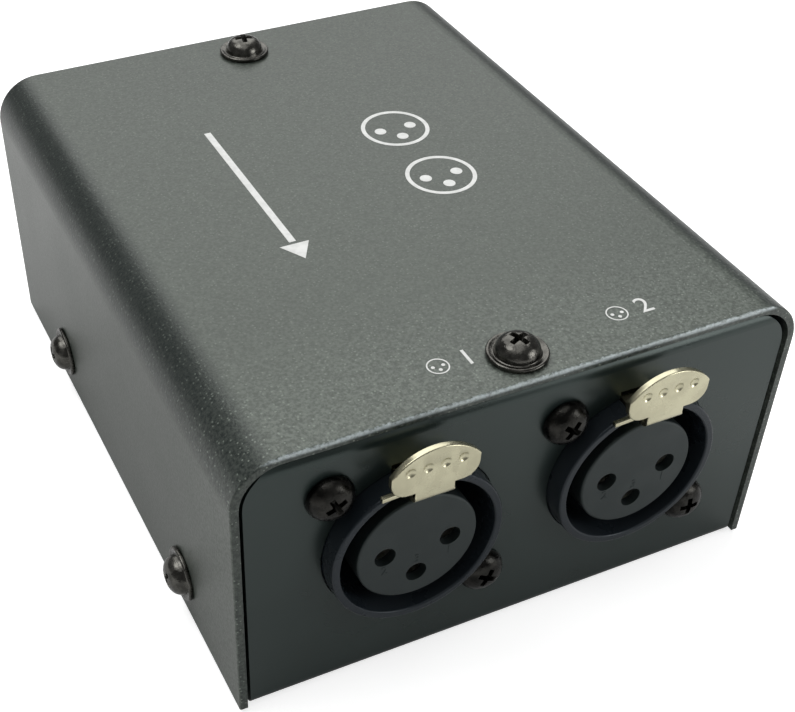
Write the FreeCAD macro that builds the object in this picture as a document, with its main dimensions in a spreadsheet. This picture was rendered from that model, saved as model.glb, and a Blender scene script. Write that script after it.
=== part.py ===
"""A two-output USB DMX interface: sheet-metal case, two latching sockets, circuit board.

Origin: middle of the tray's underside. +X is to the right seen from the front,
-Y is the front, +Z is up. Lengths are in millimetres.
"""
import FreeCAD, Part

import math
import os

import Sketcher
from FreeCAD import Placement, Rotation, Vector

# Driving sizes. Each is written once and goes into the sheet under its name.
SIZES = {
    # Case
    "cover_width": 71.1,  # outside, side to side
    "cover_length": 87.5,  # front edge to rear edge
    "cover_sheet": 1.0,  # thickness
    "cover_bend": 6.0,  # outer radius of the two long bends
    "cover_rise": 0.45,  # its lower edges stand this far above the underside
    "cover_edge_round": 0.25,
    "tray_sheet": 1.0,
    "tray_bend": 0.6,  # inner radius
    "panel_recess": 0.3,  # front and rear panels behind the cover's edges
    "panel_side_gap": 0.5,  # between a panel's side edge and the cover
    "panel_corner": 5.0,  # upper corners of the panels
    "lip_gap": 0.4,  # between a panel's top lip and the cover
    "turret_headroom": 1.0,  # between the lip and the sockets' turrets
    "lip_reach": 9.0,  # outer face of the panel to the end of its lip
    "lip_set_in": 5.6,  # lip shorter than the panel at each end
    "side_flange_rise": 11.0,
    "side_flange_front_inset": 10.75,  # its front end behind the cover's front edge
    "side_flange_rear_inset": 13.75,
    "side_flange_foot": 5.0,  # where it joins the floor
    "side_flange_corner": 3.0,
    # Screws
    "shank_radius": 1.45,
    "shank_tip": 0.3,
    "tapped_fit": 0.05,  # shank to tapped hole
    "clearance_fit": 0.25,  # shank to clearance hole
    "recess_reach": 1.55,  # cross recess, middle to the end of an arm
    "recess_arm": 0.75,  # width of an arm
    "recess_depth": 1.1,
    "case_shank": 4.6,
    "case_washer_radius": 3.5,
    "case_washer_sheet": 0.6,
    "case_washer_round": 0.2,
    "case_head_radius": 2.75,
    "case_head_rise": 1.7,
    "case_head_round": 1.35,
    "top_screw_front_inset": 4.45,  # behind the cover's front edge
    "top_screw_rear_inset": 5.75,
    "side_screw_front_inset": 17.65,
    "side_screw_rear_inset": 22.25,
    "side_screw_rise": 6.5,
    "pan_head_radius": 2.85,
    "pan_head_rise": 2.0,
    "pan_head_round": 1.3,
    "socket_shank": 7.5,
    "board_shank": 4.2,
    # Socket housing, measured from the socket's axis and the cover's front edge
    "bore_radius": 9.6,
    "socket_gap": 2.8,  # between the two mounting plates
    "bore_depth": 11.8,
    "collar_stand": 2.2,  # in front of the cover's edge
    "collar_front_wall": 1.0,
    "collar_base_wall": 1.1,
    "collar_round": 0.25,
    "panel_hole_fit": 0.15,
    "notch_over_bore": 1.9,  # top of the panel's notch for the latch
    "mount_side_wall": 3.4,  # mounting plate, bore to side edge
    "mount_end_wall": 3.65,
    "mount_sheet": 2.0,
    "mount_corner": 2.5,
    "screw_out": 0.3,  # screw places across and up from the axis, less the bore's radius
    "boss_radius": 2.85,
    "boss_length": 4.7,
    "barrel_wall": 1.8,
    "barrel_end": 15.0,
    "foot_half_width": 9.5,
    "foot_front": 4.5,
    "foot_sheet": 1.6,  # between the barrel and the board
    "foot_top": 8.0,  # below the axis
    "peg_radius": 0.9,
    "peg_spread": 7.0,
    "peg_depth": 9.5,
    "peg_reach": 0.6,  # below the board
    "peg_fit": 0.1,
    "turret_half_width": 6.2,
    "turret_over_bore": 4.8,
    "turret_end": 9.5,
    "channel_fit": 0.3,  # beside the latch
    "channel_under_bore": 0.2,
    "latch_rest_fit": 0.05,  # between the strap and the shelf that it rests on
    "channel_end": 8.0,
    # Insert and its contacts
    "bore_gap": 2.15,  # between the insert and the bore
    "insert_set_back": 0.35,  # face behind the collar's face
    "insert_round": 0.3,
    "insert_fit": 0.05,
    "cap_inset": 0.1,  # cap's edge inside the bore's radius
    "cap_sheet": 1.5,
    "contact_mouth_radius": 1.3,
    "contact_mouth_depth": 1.2,
    "sleeve_radius": 1.65,
    "sleeve_bore": 1.25,
    "sleeve_length": 12.0,
    "sleeve_fit": 0.05,
    "stub_radius": 0.9,
    "contact_leg": 0.8,
    "contact_leg_gap": 1.4,  # cap to the middle of the legs
    "leg_reach": 1.0,  # below the board
    "leg_fit": 0.15,
    # Latch
    "latch_sheet": 0.7,
    "tab_stand": 4.6,  # face in front of the cover's edge
    "tab_half_width": 5.2,
    "tab_top_over_bore": 7.4,
    "shoulder_over_bore": 4.8,
    "tab_over_bore": 1.85,
    "tab_low_corner": 2.0,
    "tab_edge_round": 0.15,
    "neck_half_width": 2.35,
    "strap_over_bore": 0.2,
    "strap_bend": 0.8,
    "nose_under_bore": 1.1,
    "nose_front": 1.4,
    "nose_length": 1.0,
    "nose_half_width": 1.2,
    "nose_ramp": 0.4,
    "ear_half_width": 5.3,
    "ear_droop": 0.2,
    "ear_sheet": 0.5,
    "ear_front": 2.95,
    "ear_length": 0.55,
    "pivot_depth": 3.0,  # behind the cover's edge
    "pivot_over_bore": 1.4,
    "eye_radius": 1.35,
    "pin_radius": 0.75,
    "pin_half_length": 6.0,
    "pin_fit": 0.05,
    "tail_over_bore": 4.6,
    "spring_wire": 0.36,
    "spring_radius": 1.0,  # middle of the wire
    "spring_over_bore": 3.35,
    # Circuit board
    "board_side_gap": 4.55,  # behind a panel's side edge
    "board_front_inset": 4.0,  # behind the cover's front edge
    "board_rear_inset": 2.75,
    "board_sheet": 1.6,
    "board_corner": 1.5,
    "standoff_height": 4.9,
    "standoff_radius": 2.9,  # over the corners of the hexagon
    "spigot_radius": 2.0,
    "spigot_fit": 0.05,
    "spigot_set_back": 0.1,
    "standoff_side_inset": 4.0,  # from the board's side edge
    "standoff_front_inset": 23.75,  # from the cover's edges
    "standoff_rear_inset": 7.75,
    # USB inlet, measured from the middle of its mouth
    "inlet_width": 12.0,
    "inlet_height": 11.0,
    "inlet_sheet": 0.4,
    "inlet_length": 16.0,
    "inlet_stand": 0.5,  # out of the rear panel
    "inlet_hole_fit": 0.3,
    "inlet_core_fit": 0.05,
    "inlet_core_set_back": 0.6,
    "mouth_width": 8.45,
    "mouth_height": 7.78,
    "mouth_chamfer": 1.6,
    "mouth_depth": 9.2,
    "tongue_width": 5.6,
    "tongue_height": 3.2,
    "blade_width": 1.0,
    "blade_sheet": 0.3,
    "blade_spread": 1.25,
    "blade_set_back": 1.0,  # behind the tongue's end
    "blade_leg_gap": 1.0,  # from the inlet's rear to its first legs
    "blade_leg_step": 1.4,
    "blade_fit": 0.04,
    "inlet_tab_width": 2.4,
    "inlet_tab_depth": 5.0,
    # Lamp
    "lamp_side_gap": 8.0,  # from the inlet's side to the lamp's middle
    "lamp_over_board": 5.5,
    "lamp_radius": 1.5,
    "lamp_length": 4.6,
    "lamp_dome": 1.3,
    "lamp_flange_radius": 1.9,
    "lamp_flange_sheet": 0.9,
    "lamp_stand": 0.6,  # out of the rear panel
    "lamp_fit": 0.1,
    "lamp_lead": 0.5,
    "lamp_lead_spread": 1.27,
    "lamp_lead_back": 2.2,
    # Parts on the board
    "chip_standoff": 0.1,
    "lead_sheet": 0.2,
    "controller_side": 7.0,
    "controller_height": 1.4,
    "controller_pitch": 0.8,
    "controller_lead": 0.35,
    "driver_length": 4.9,
    "driver_width": 3.9,
    "driver_height": 1.6,
    "driver_pitch": 1.27,
    "driver_lead": 0.42,
    "regulator_length": 6.5,
    "regulator_width": 3.5,
    "regulator_height": 1.6,
    "regulator_pitch": 2.3,
    "regulator_lead": 0.75,
    "regulator_tab": 3.0,
    "lead_out": 0.45,  # body to the lead's bend
    "lead_foot": 1.0,  # body to the lead's end
    "crystal_length": 11.0,
    "crystal_width": 4.6,
    "crystal_height": 3.4,
    "crystal_rim": 0.35,
    "crystal_rim_sheet": 0.4,
    "crystal_round": 0.5,
    "crystal_leg_spread": 2.44,
    "round_leg": 0.25,  # radius of a round leg
    "capacitor_radius": 3.15,
    "capacitor_height": 9.0,
    "capacitor_round": 0.4,
    "capacitor_groove_rise": 1.2,
    "capacitor_groove": 0.3,
    "capacitor_leg_spread": 1.25,
    "resistor_length": 2.0,
    "resistor_width": 1.25,
    "resistor_height": 0.5,
    "resistor_step": 4.4,
    "overrun": 0.5,  # every cut runs this far past its surface
}

CONTROLLER_LEAD_COUNT = 8
DRIVER_LEAD_COUNT = 4
REGULATOR_LEAD_COUNT = 3
SPRING_TURNS = 4
RESISTOR_COUNT = 8
HEXAGON = 6
TOUCH = 0.01  # two places nearer than this are one

CONTACT_CIRCLE_SHARE = 0.5436  # of the insert's radius

# Places on the board, as shares of its half width and of its half length.
CONTROLLER_SHARE = (0.0, 0.0)
CRYSTAL_SHARE = (-0.45, 0.03)
REGULATOR_SHARE = (0.5, 0.22)
CAPACITOR_SHARES = ((0.55, 0.5), (-0.5, 0.55))
DRIVER_SHARES = ((-0.49, -0.42), (0.49, -0.42))
RESISTOR_ROW_SHARE = -0.23

doc = FreeCAD.newDocument("usb_dmx_interface")
nodes = []


class Length:
    """A length: its value now, and the sheet expression that it comes from."""

    def __init__(self, value, text):
        self.value = value
        self.text = text

    def __add__(self, other):
        other = as_length(other)
        return Length(self.value + other.value, f"({self.text} + {other.text})")

    def __sub__(self, other):
        other = as_length(other)
        return Length(self.value - other.value, f"({self.text} - {other.text})")

    def __rsub__(self, other):
        return as_length(other) - self

    def __mul__(self, factor):
        return Length(self.value * factor, f"({self.text} * {factor!r})")

    def __truediv__(self, factor):
        return Length(self.value / factor, f"({self.text} / {factor!r})")

    def __neg__(self):
        return self * -1

    __radd__ = __add__
    __rmul__ = __mul__


def as_length(value):
    """Zero, or a length as it is."""
    if isinstance(value, Length):
        return value
    return Length(float(value), repr(float(value)))


class SizeSheet:
    """The document's sheet: a cell and an alias for each driving size."""

    def __init__(self, sizes):
        self.sheet = doc.addObject("Spreadsheet::Sheet", "Sizes")
        for row, (name, value) in enumerate(sizes.items(), start=1):
            self.sheet.set(f"A{row}", name.replace("_", " "))
            self.sheet.set(f"B{row}", str(value))
            self.sheet.setAlias(f"B{row}", name)
        doc.recompute()

    def __getattr__(self, name):
        return Length(float(self.sheet.get(name)), f"Sizes.{name}")


mm = SizeSheet(SIZES)

# Places that several pieces share
cover_half = mm.cover_width / 2
cover_end = mm.cover_length / 2
cover_inside = cover_half - mm.cover_sheet
panel_face = cover_end - mm.panel_recess
panel_half = cover_inside - mm.panel_side_gap
panel_back = mm.panel_recess + mm.tray_sheet
top_screw_front = cover_end - mm.top_screw_front_inset
top_screw_rear = cover_end - mm.top_screw_rear_inset
side_screw_front = cover_end - mm.side_screw_front_inset
side_screw_rear = cover_end - mm.side_screw_rear_inset
tapped_radius = mm.shank_radius + mm.tapped_fit
clearance_radius = mm.shank_radius + mm.clearance_fit

# The board lies on standoffs, and the sockets' feet stand on the board
board_half_width = panel_half - mm.board_side_gap
board_front = cover_end - mm.board_front_inset
board_rear = cover_end - mm.board_rear_inset
board_half_length = (board_front + board_rear) / 2
board_middle = (board_rear - board_front) / 2
board_under = mm.tray_sheet + mm.standoff_height
board_top = board_under + mm.board_sheet
barrel_radius = mm.bore_radius + mm.barrel_wall
collar_base_radius = mm.bore_radius + mm.collar_base_wall
mount_half = mm.bore_radius + mm.mount_side_wall
mount_high = mm.bore_radius + mm.mount_end_wall
screw_pattern = mm.bore_radius + mm.screw_out
socket_middle = mount_half + mm.socket_gap / 2
socket_rise = board_top + barrel_radius + mm.foot_sheet
socket_to_board = board_top - socket_rise
socket_to_under = board_under - socket_rise
insert_radius = mm.bore_radius - mm.bore_gap
insert_face = mm.insert_set_back - mm.collar_stand
cap_back = mm.barrel_end + mm.cap_sheet
contact_circle = insert_radius * CONTACT_CIRCLE_SHARE
contact_leg_depth = cap_back + mm.contact_leg_gap

# Heights above a socket's axis
turret_top = mm.bore_radius + mm.turret_over_bore
channel_floor = mm.bore_radius - mm.channel_under_bore
channel_half = mm.neck_half_width + mm.channel_fit
nose_low = mm.bore_radius - mm.nose_under_bore
strap_under = mm.bore_radius + mm.strap_over_bore
strap_top = strap_under + mm.latch_sheet
pivot_rise = mm.bore_radius + mm.pivot_over_bore

# The cover clears the lips, and the lips clear the turrets
lip_under = socket_rise + turret_top + mm.turret_headroom
lip_top = lip_under + mm.tray_sheet
case_height = lip_top + mm.lip_gap + mm.cover_sheet
inlet_rise = board_top + mm.inlet_height / 2
inlet_mouth = panel_face + mm.inlet_stand
lamp_offset = mm.inlet_width / 2 + mm.lamp_side_gap
lamp_rise = board_top + mm.lamp_over_board
SOCKET_SIDES = {1: -1, 2: 1}
CONTACT_TURNS = (180, 0, 270)  # where the three contacts stand on their circle, in degrees


# Document helpers

def new_body(label):
    """An empty body under its own label."""
    body = doc.addObject("PartDesign::Body", label)
    body.Label = label
    return body


def bind(obj, path, length):
    """Sets a property from a length and keeps it bound to the sheet."""
    obj.setExpression(path, as_length(length).text)


def place(obj, x, y, z, turn=None):
    """Puts an object at a point, turned if a rotation is given."""
    spot = [as_length(value) for value in (x, y, z)]
    obj.Placement = Placement(Vector(*[value.value for value in spot]), turn or Rotation())
    for name, value in zip("xyz", spot):
        obj.setExpression(f"Placement.Base.{name}", value.text)
    return obj


def keep(obj):
    """Marks an object as a sub-part of the model."""
    nodes.append(obj)
    return obj


def keep_group(label, members):
    """Several separate solids of one kind, kept as one sub-part."""
    group = doc.addObject("Part::Compound", label)
    group.Label = label
    group.Links = members
    return keep(group)


def sketch_on(body, name, role, offset=0):
    """A sketch on one of the body's own planes, moved along the plane's normal.

    The XZ plane's normal points to the front, so an offset there is a distance forward.
    """
    plane = next(item for item in body.Origin.OriginFeatures if item.Role == role)
    sketch = body.newObject("Sketcher::SketchObject", name)
    sketch.AttachmentSupport = (plane, "")
    sketch.MapMode = "FlatFace"
    offset = as_length(offset)
    sketch.AttachmentOffset = Placement(Vector(0, 0, offset.value), Rotation())
    bind(sketch, "AttachmentOffset.Base.z", offset)
    return sketch


def pin_point(sketch, geometry, position, x, y):
    """Holds one point of a sketch at x, y."""
    for kind, axis, name, value in (("DistanceX", -2, "x", x), ("DistanceY", -1, "y", y)):
        value = as_length(value)
        if value.text == "0.0":
            sketch.addConstraint(Sketcher.Constraint("PointOnObject", geometry, position, axis))
            continue
        rule = Sketcher.Constraint(kind, -1, 1, geometry, position, value.value)
        index = sketch.addConstraint(rule)
        sketch.renameConstraint(index, f"{name}{geometry}")
        bind(sketch, f"Constraints.{name}{geometry}", value)


def circle(sketch, x, y, radius):
    """A circle held by its centre and radius."""
    centre = Vector(as_length(x).value, as_length(y).value, 0)
    geometry = sketch.addGeometry(Part.Circle(centre, Vector(0, 0, 1), radius.value))
    pin_point(sketch, geometry, 3, x, y)
    index = sketch.addConstraint(Sketcher.Constraint("Radius", geometry, radius.value))
    sketch.renameConstraint(index, f"r{geometry}")
    bind(sketch, f"Constraints.r{geometry}", radius)


def arc_geometry(start, end, radius, turn):
    """The short arc from start to end; turn is 1 counter-clockwise and -1 clockwise."""
    chord = end - start
    half = chord.Length / 2
    rise = math.sqrt(max(radius * radius - half * half, 0))
    across = Vector(-chord.y, chord.x, 0).normalize()
    centre = (start + end) * 0.5 + across * (rise * turn)
    first, last = (start, end) if turn > 0 else (end, start)
    angles = [math.atan2(point.y - centre.y, point.x - centre.x) for point in (first, last)]
    if angles[1] < angles[0]:
        angles[1] += 2 * math.pi
    return Part.ArcOfCircle(Part.Circle(centre, Vector(0, 0, 1), radius), *angles)


def outline(sketch, points):
    """A closed outline. A point is (x, y), or (x, y, radius, turn) where an arc leaves it."""
    spots = [Vector(as_length(point[0]).value, as_length(point[1]).value, 0) for point in points]
    ends = []
    for index, point in enumerate(points):
        start, end = spots[index], spots[(index + 1) % len(points)]
        if len(point) == 2:
            geometry = sketch.addGeometry(Part.LineSegment(start, end))
            ends.append((geometry, 1, 2))
            continue
        radius, turn = point[2], point[3]
        geometry = sketch.addGeometry(arc_geometry(start, end, radius.value, turn))
        ends.append((geometry, 1, 2) if turn > 0 else (geometry, 2, 1))
        rule = sketch.addConstraint(Sketcher.Constraint("Radius", geometry, radius.value))
        sketch.renameConstraint(rule, f"r{geometry}")
        bind(sketch, f"Constraints.r{geometry}", radius)
    for index, point in enumerate(points):
        before, this = ends[index - 1], ends[index]
        rule = Sketcher.Constraint("Coincident", before[0], before[2], this[0], this[1])
        sketch.addConstraint(rule)
        pin_point(sketch, this[0], this[1], point[0], point[1])


def box_outline(sketch, left, right, low, high):
    """A rectangle between two corners."""
    outline(sketch, [(left, low), (right, low), (right, high), (left, high)])


def pad(body, sketch, length, reverse=False, both_ways=False):
    """Adds a sketch's area to the body, along its normal unless reversed."""
    feature = body.newObject("PartDesign::Pad", f"{sketch.Name}_pad")
    feature.Profile = sketch
    feature.Reversed = reverse
    if both_ways:
        feature.SideType = "Symmetric"
    bind(feature, "Length", length)
    doc.recompute()
    return feature


def cut(body, sketch, length=None, reverse=False, both_ways=False):
    """Cuts a sketch's area against its normal, or through everything if no length is given."""
    before = body.Shape.Volume
    feature = body.newObject("PartDesign::Pocket", f"{sketch.Name}_cut")
    feature.Profile = sketch
    feature.Reversed = reverse
    if both_ways:
        feature.SideType = "Symmetric"
    if length is None:
        feature.Type = "ThroughAll"
    else:
        bind(feature, "Length", length)
    doc.recompute()
    if body.Shape.Volume > before - TOUCH * TOUCH:
        raise RuntimeError(f"{feature.Name} removed nothing")
    return feature


def revolve(body, sketch, axis):
    """Turns a sketch once around one of its own axes."""
    feature = body.newObject("PartDesign::Revolution", f"{sketch.Name}_turned")
    feature.Profile = sketch
    feature.ReferenceAxis = (sketch, [axis])
    feature.Angle = 360
    doc.recompute()
    return feature


def near(value, length):
    """True where a coordinate is at a length."""
    return abs(value - as_length(length).value) < TOUCH


def round_edges(body, name, radius, wanted):
    """Rounds the edges whose middle point the test accepts."""
    base = body.Tip
    names = []
    for index, edge in enumerate(base.Shape.Edges, start=1):
        middle = edge.valueAt((edge.FirstParameter + edge.LastParameter) / 2)
        if wanted(edge, middle):
            names.append(f"Edge{index}")
    if not names:
        raise RuntimeError(f"{name} found no edge")
    feature = body.newObject("PartDesign::Fillet", name)
    feature.Base = (base, names)
    bind(feature, "Radius", radius)
    doc.recompute()
    return feature


def lies_along(edge, axis):
    """True for a straight edge along one axis."""
    if not isinstance(edge.Curve, Part.Line):
        return False
    return abs(abs(edge.Curve.Direction.dot(axis)) - 1) < TOUCH


def turned_about(edge, axis, radius):
    """True for a round edge of this radius about an axis through the origin."""
    if not isinstance(edge.Curve, Part.Circle):
        return False
    centre = edge.Curve.Center
    off_axis = (centre - axis * centre.dot(axis)).Length
    return off_axis < TOUCH and near(edge.Curve.Radius, radius)


X_AXIS, Y_AXIS, Z_AXIS = Vector(1, 0, 0), Vector(0, 1, 0), Vector(0, 0, 1)


# Case

def make_cover():
    """U-shaped lid: a top and two sides from one sheet, with two long bends."""
    body = new_body("cover")
    under = case_height - mm.cover_sheet
    bend_low = case_height - mm.cover_bend
    bend_in = cover_half - mm.cover_bend
    inner_bend = mm.cover_bend - mm.cover_sheet
    front = sketch_on(body, "cover_front_view", "XZ_Plane")
    outline(front, [
        (-cover_half, mm.cover_rise),
        (-cover_half, bend_low, mm.cover_bend, -1),
        (-bend_in, case_height),
        (bend_in, case_height, mm.cover_bend, -1),
        (cover_half, bend_low),
        (cover_half, mm.cover_rise),
        (cover_inside, mm.cover_rise),
        (cover_inside, bend_low, inner_bend, 1),
        (bend_in, under),
        (-bend_in, under, inner_bend, 1),
        (-cover_inside, bend_low),
        (-cover_inside, mm.cover_rise),
    ])
    pad(body, front, mm.cover_length, both_ways=True)
    round_edges(body, "cover_end_edges", mm.cover_edge_round, lambda edge, middle: (
        near(abs(middle.y), cover_end) and (
            near(abs(middle.x), cover_half) or near(middle.z, case_height)
            or (isinstance(edge.Curve, Part.Circle) and near(edge.Curve.Radius, mm.cover_bend)))))
    top_holes = sketch_on(body, "cover_top_holes", "XY_Plane", case_height + mm.overrun)
    circle(top_holes, 0, -top_screw_front, clearance_radius)
    circle(top_holes, 0, top_screw_rear, clearance_radius)
    cut(body, top_holes, mm.cover_sheet + mm.overrun * 2)
    side_holes = sketch_on(body, "cover_side_holes", "YZ_Plane")
    circle(side_holes, -side_screw_front, mm.side_screw_rise, clearance_radius)
    circle(side_holes, side_screw_rear, mm.side_screw_rise, clearance_radius)
    cut(body, side_holes, mm.cover_width + mm.overrun * 2, both_ways=True)
    return keep(body)


def make_chassis():
    """Tray: floor, front and rear panels with top lips, and side flanges for the cover."""
    body = new_body("chassis")
    panel_inner = panel_face - mm.tray_sheet
    lip_end = panel_face - mm.lip_reach
    outer_bend = mm.tray_bend + mm.tray_sheet
    side = sketch_on(body, "chassis_side_view", "YZ_Plane")
    outline(side, [
        (-panel_face, 0), (panel_face, 0), (panel_face, lip_top), (lip_end, lip_top),
        (lip_end, lip_under), (panel_inner, lip_under), (panel_inner, mm.tray_sheet),
        (-panel_inner, mm.tray_sheet), (-panel_inner, lip_under), (-lip_end, lip_under),
        (-lip_end, lip_top), (-panel_face, lip_top),
    ])
    pad(body, side, panel_half * 2, both_ways=True)
    round_edges(body, "chassis_outer_bends", outer_bend, lambda edge, middle: (
        lies_along(edge, X_AXIS) and near(abs(middle.y), panel_face)))
    round_edges(body, "chassis_inner_bends", mm.tray_bend, lambda edge, middle: (
        lies_along(edge, X_AXIS) and near(abs(middle.y), panel_inner)))
    trim_lips(body, panel_inner, lip_end)
    add_side_flanges(body)
    open_front_panel(body)
    open_rear_panel(body)
    lip_holes = sketch_on(body, "chassis_lip_holes", "XY_Plane", lip_top + mm.overrun)
    circle(lip_holes, 0, -top_screw_front, tapped_radius)
    circle(lip_holes, 0, top_screw_rear, tapped_radius)
    cut(body, lip_holes, mm.tray_sheet + mm.overrun * 2)
    floor_holes = sketch_on(body, "chassis_floor_holes", "XY_Plane", mm.tray_sheet + mm.overrun)
    for x, y in standoff_places():
        circle(floor_holes, x, y, mm.spigot_radius + mm.spigot_fit)
    cut(body, floor_holes, mm.tray_sheet + mm.overrun * 2)
    return keep(body)


def trim_lips(body, panel_inner, lip_end):
    """Shortens both lips at their ends and rounds the panels' upper corners."""
    lip_half = panel_half - mm.lip_set_in
    beyond = panel_half + mm.overrun
    ends = sketch_on(body, "chassis_lip_ends", "XY_Plane", lip_top)
    for way in (-1, 1):
        for depth in (-1, 1):
            box_outline(ends, lip_half * way, beyond * way,
                        panel_inner * depth, (lip_end - mm.overrun) * depth)
    cut(body, ends, mm.tray_sheet + mm.tray_bend)
    corner_in = panel_half - mm.panel_corner
    corner_low = lip_top - mm.panel_corner
    corners = sketch_on(body, "chassis_panel_corners", "XZ_Plane")
    for way in (-1, 1):
        outline(corners, [
            (corner_in * way, lip_top, mm.panel_corner, -way), (panel_half * way, corner_low),
            (beyond * way, corner_low), (beyond * way, lip_top + mm.overrun),
            (corner_in * way, lip_top + mm.overrun),
        ])
    cut(body, corners, mm.cover_length, both_ways=True)


def add_side_flanges(body):
    """Upstands along the floor's sides, tapped for the cover's side screws."""
    inside = panel_half - mm.tray_sheet
    foot = panel_half - mm.side_flange_foot
    flange_front = cover_end - mm.side_flange_front_inset
    flange_rear = cover_end - mm.side_flange_rear_inset
    front_view = sketch_on(body, "chassis_flanges", "XZ_Plane", flange_front)
    for way in (-1, 1):
        outline(front_view, [
            (foot * way, 0), (panel_half * way, 0), (panel_half * way, mm.side_flange_rise),
            (inside * way, mm.side_flange_rise), (inside * way, mm.tray_sheet),
            (foot * way, mm.tray_sheet),
        ])
    pad(body, front_view, flange_front + flange_rear, reverse=True)
    round_edges(body, "chassis_flange_corners", mm.side_flange_corner, lambda edge, middle: (
        lies_along(edge, X_AXIS) and near(middle.z, mm.side_flange_rise)))
    round_edges(body, "chassis_flange_bends", mm.tray_bend, lambda edge, middle: (
        lies_along(edge, Y_AXIS) and near(abs(middle.x), inside)
        and near(middle.z, mm.tray_sheet)))
    holes = sketch_on(body, "chassis_flange_holes", "YZ_Plane")
    circle(holes, -side_screw_front, mm.side_screw_rise, tapped_radius)
    circle(holes, side_screw_rear, mm.side_screw_rise, tapped_radius)
    cut(body, holes, mm.cover_width, both_ways=True)


def open_front_panel(body):
    """Round openings for the collars, each with a notch for its latch and two screw holes."""
    ahead = panel_face + mm.overrun
    through = mm.tray_sheet + mm.overrun * 2
    holes = sketch_on(body, "chassis_front_holes", "XZ_Plane", ahead)
    notches = sketch_on(body, "chassis_front_notches", "XZ_Plane", ahead)
    for way in SOCKET_SIDES.values():
        x = socket_middle * way
        circle(holes, x, socket_rise, collar_base_radius + mm.panel_hole_fit)
        for turn in (-1, 1):
            circle(holes, x + screw_pattern * turn,
                   socket_rise - screw_pattern * turn, clearance_radius)
        box_outline(notches, x - channel_half, x + channel_half,
                    socket_rise + channel_floor,
                    socket_rise + mm.bore_radius + mm.notch_over_bore)
    cut(body, holes, through)
    cut(body, notches, through)


def open_rear_panel(body):
    """Openings for the USB inlet and the lamp."""
    inside = panel_face - mm.tray_sheet - mm.overrun
    holes = sketch_on(body, "chassis_rear_holes", "XZ_Plane", -inside)
    half_width = mm.inlet_width / 2 + mm.inlet_hole_fit
    half_height = mm.inlet_height / 2 + mm.inlet_hole_fit
    box_outline(holes, -half_width, half_width, inlet_rise - half_height, inlet_rise + half_height)
    circle(holes, lamp_offset, lamp_rise, mm.lamp_radius + mm.lamp_fit)
    cut(body, holes, mm.tray_sheet + mm.overrun * 2)


# Screws

def make_screw(label, head_radius, head_rise, head_round, shank, washer=False):
    """Cross-recess screw, head up, with the seat of its head at the origin."""
    body = new_body(label)
    seat_sheet = mm.case_washer_sheet if washer else as_length(0)
    top = seat_sheet + head_rise
    points = [
        (0, -shank), (mm.shank_radius - mm.shank_tip, -shank),
        (mm.shank_radius, mm.shank_tip - shank), (mm.shank_radius, 0),
    ]
    if washer:
        points += [(mm.case_washer_radius, 0), (mm.case_washer_radius, seat_sheet),
                   (head_radius, seat_sheet)]
    else:
        points += [(head_radius, 0)]
    points += [(head_radius, top), (0, top)]
    half = sketch_on(body, f"{label}_half", "XZ_Plane")
    outline(half, points)
    revolve(body, half, "V_Axis")
    round_edges(body, f"{label}_dome", head_round, lambda edge, middle: (
        turned_about(edge, Z_AXIS, head_radius) and near(middle.z, top)))
    if washer:
        round_edges(body, f"{label}_washer_edge", mm.case_washer_round, lambda edge, middle: (
            turned_about(edge, Z_AXIS, mm.case_washer_radius) and near(middle.z, seat_sheet)))
    cross = sketch_on(body, f"{label}_cross", "XY_Plane", top)
    arm, reach = mm.recess_arm / 2, mm.recess_reach
    outline(cross, [
        (reach, -arm), (reach, arm), (arm, arm), (arm, reach), (-arm, reach), (-arm, arm),
        (-reach, arm), (-reach, -arm), (-arm, -arm), (-arm, -reach), (arm, -reach), (arm, -arm),
    ])
    cut(body, cross, mm.recess_depth)
    return body


def case_screw(label):
    """One washer-head screw of the case."""
    return make_screw(label, mm.case_head_radius, mm.case_head_rise, mm.case_head_round,
                      mm.case_shank, washer=True)


def make_case_screws():
    """Two screws in the cover's top and four in its sides."""
    tops = []
    for name, y in (("front", -top_screw_front), ("rear", top_screw_rear)):
        tops.append(place(case_screw(f"top_screw_{name}"), 0, y, case_height))
    keep_group("top_screws", tops)
    sides = []
    for name, way in (("left", -1), ("right", 1)):
        for spot, y in (("front", -side_screw_front), ("rear", side_screw_rear)):
            screw = case_screw(f"side_screw_{name}_{spot}")
            turn = Rotation(Y_AXIS, 90 * way)
            sides.append(place(screw, cover_half * way, y, mm.side_screw_rise, turn))
    keep_group("side_screws", sides)


# Sockets

def place_in_socket(obj, number, x=0, y=0, z=0, turn=None):
    """Puts an object at a place measured from a socket's axis and the cover's front edge."""
    middle = socket_middle * SOCKET_SIDES[number]
    return place(obj, middle + x, y - cover_end, socket_rise + z, turn)


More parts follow.
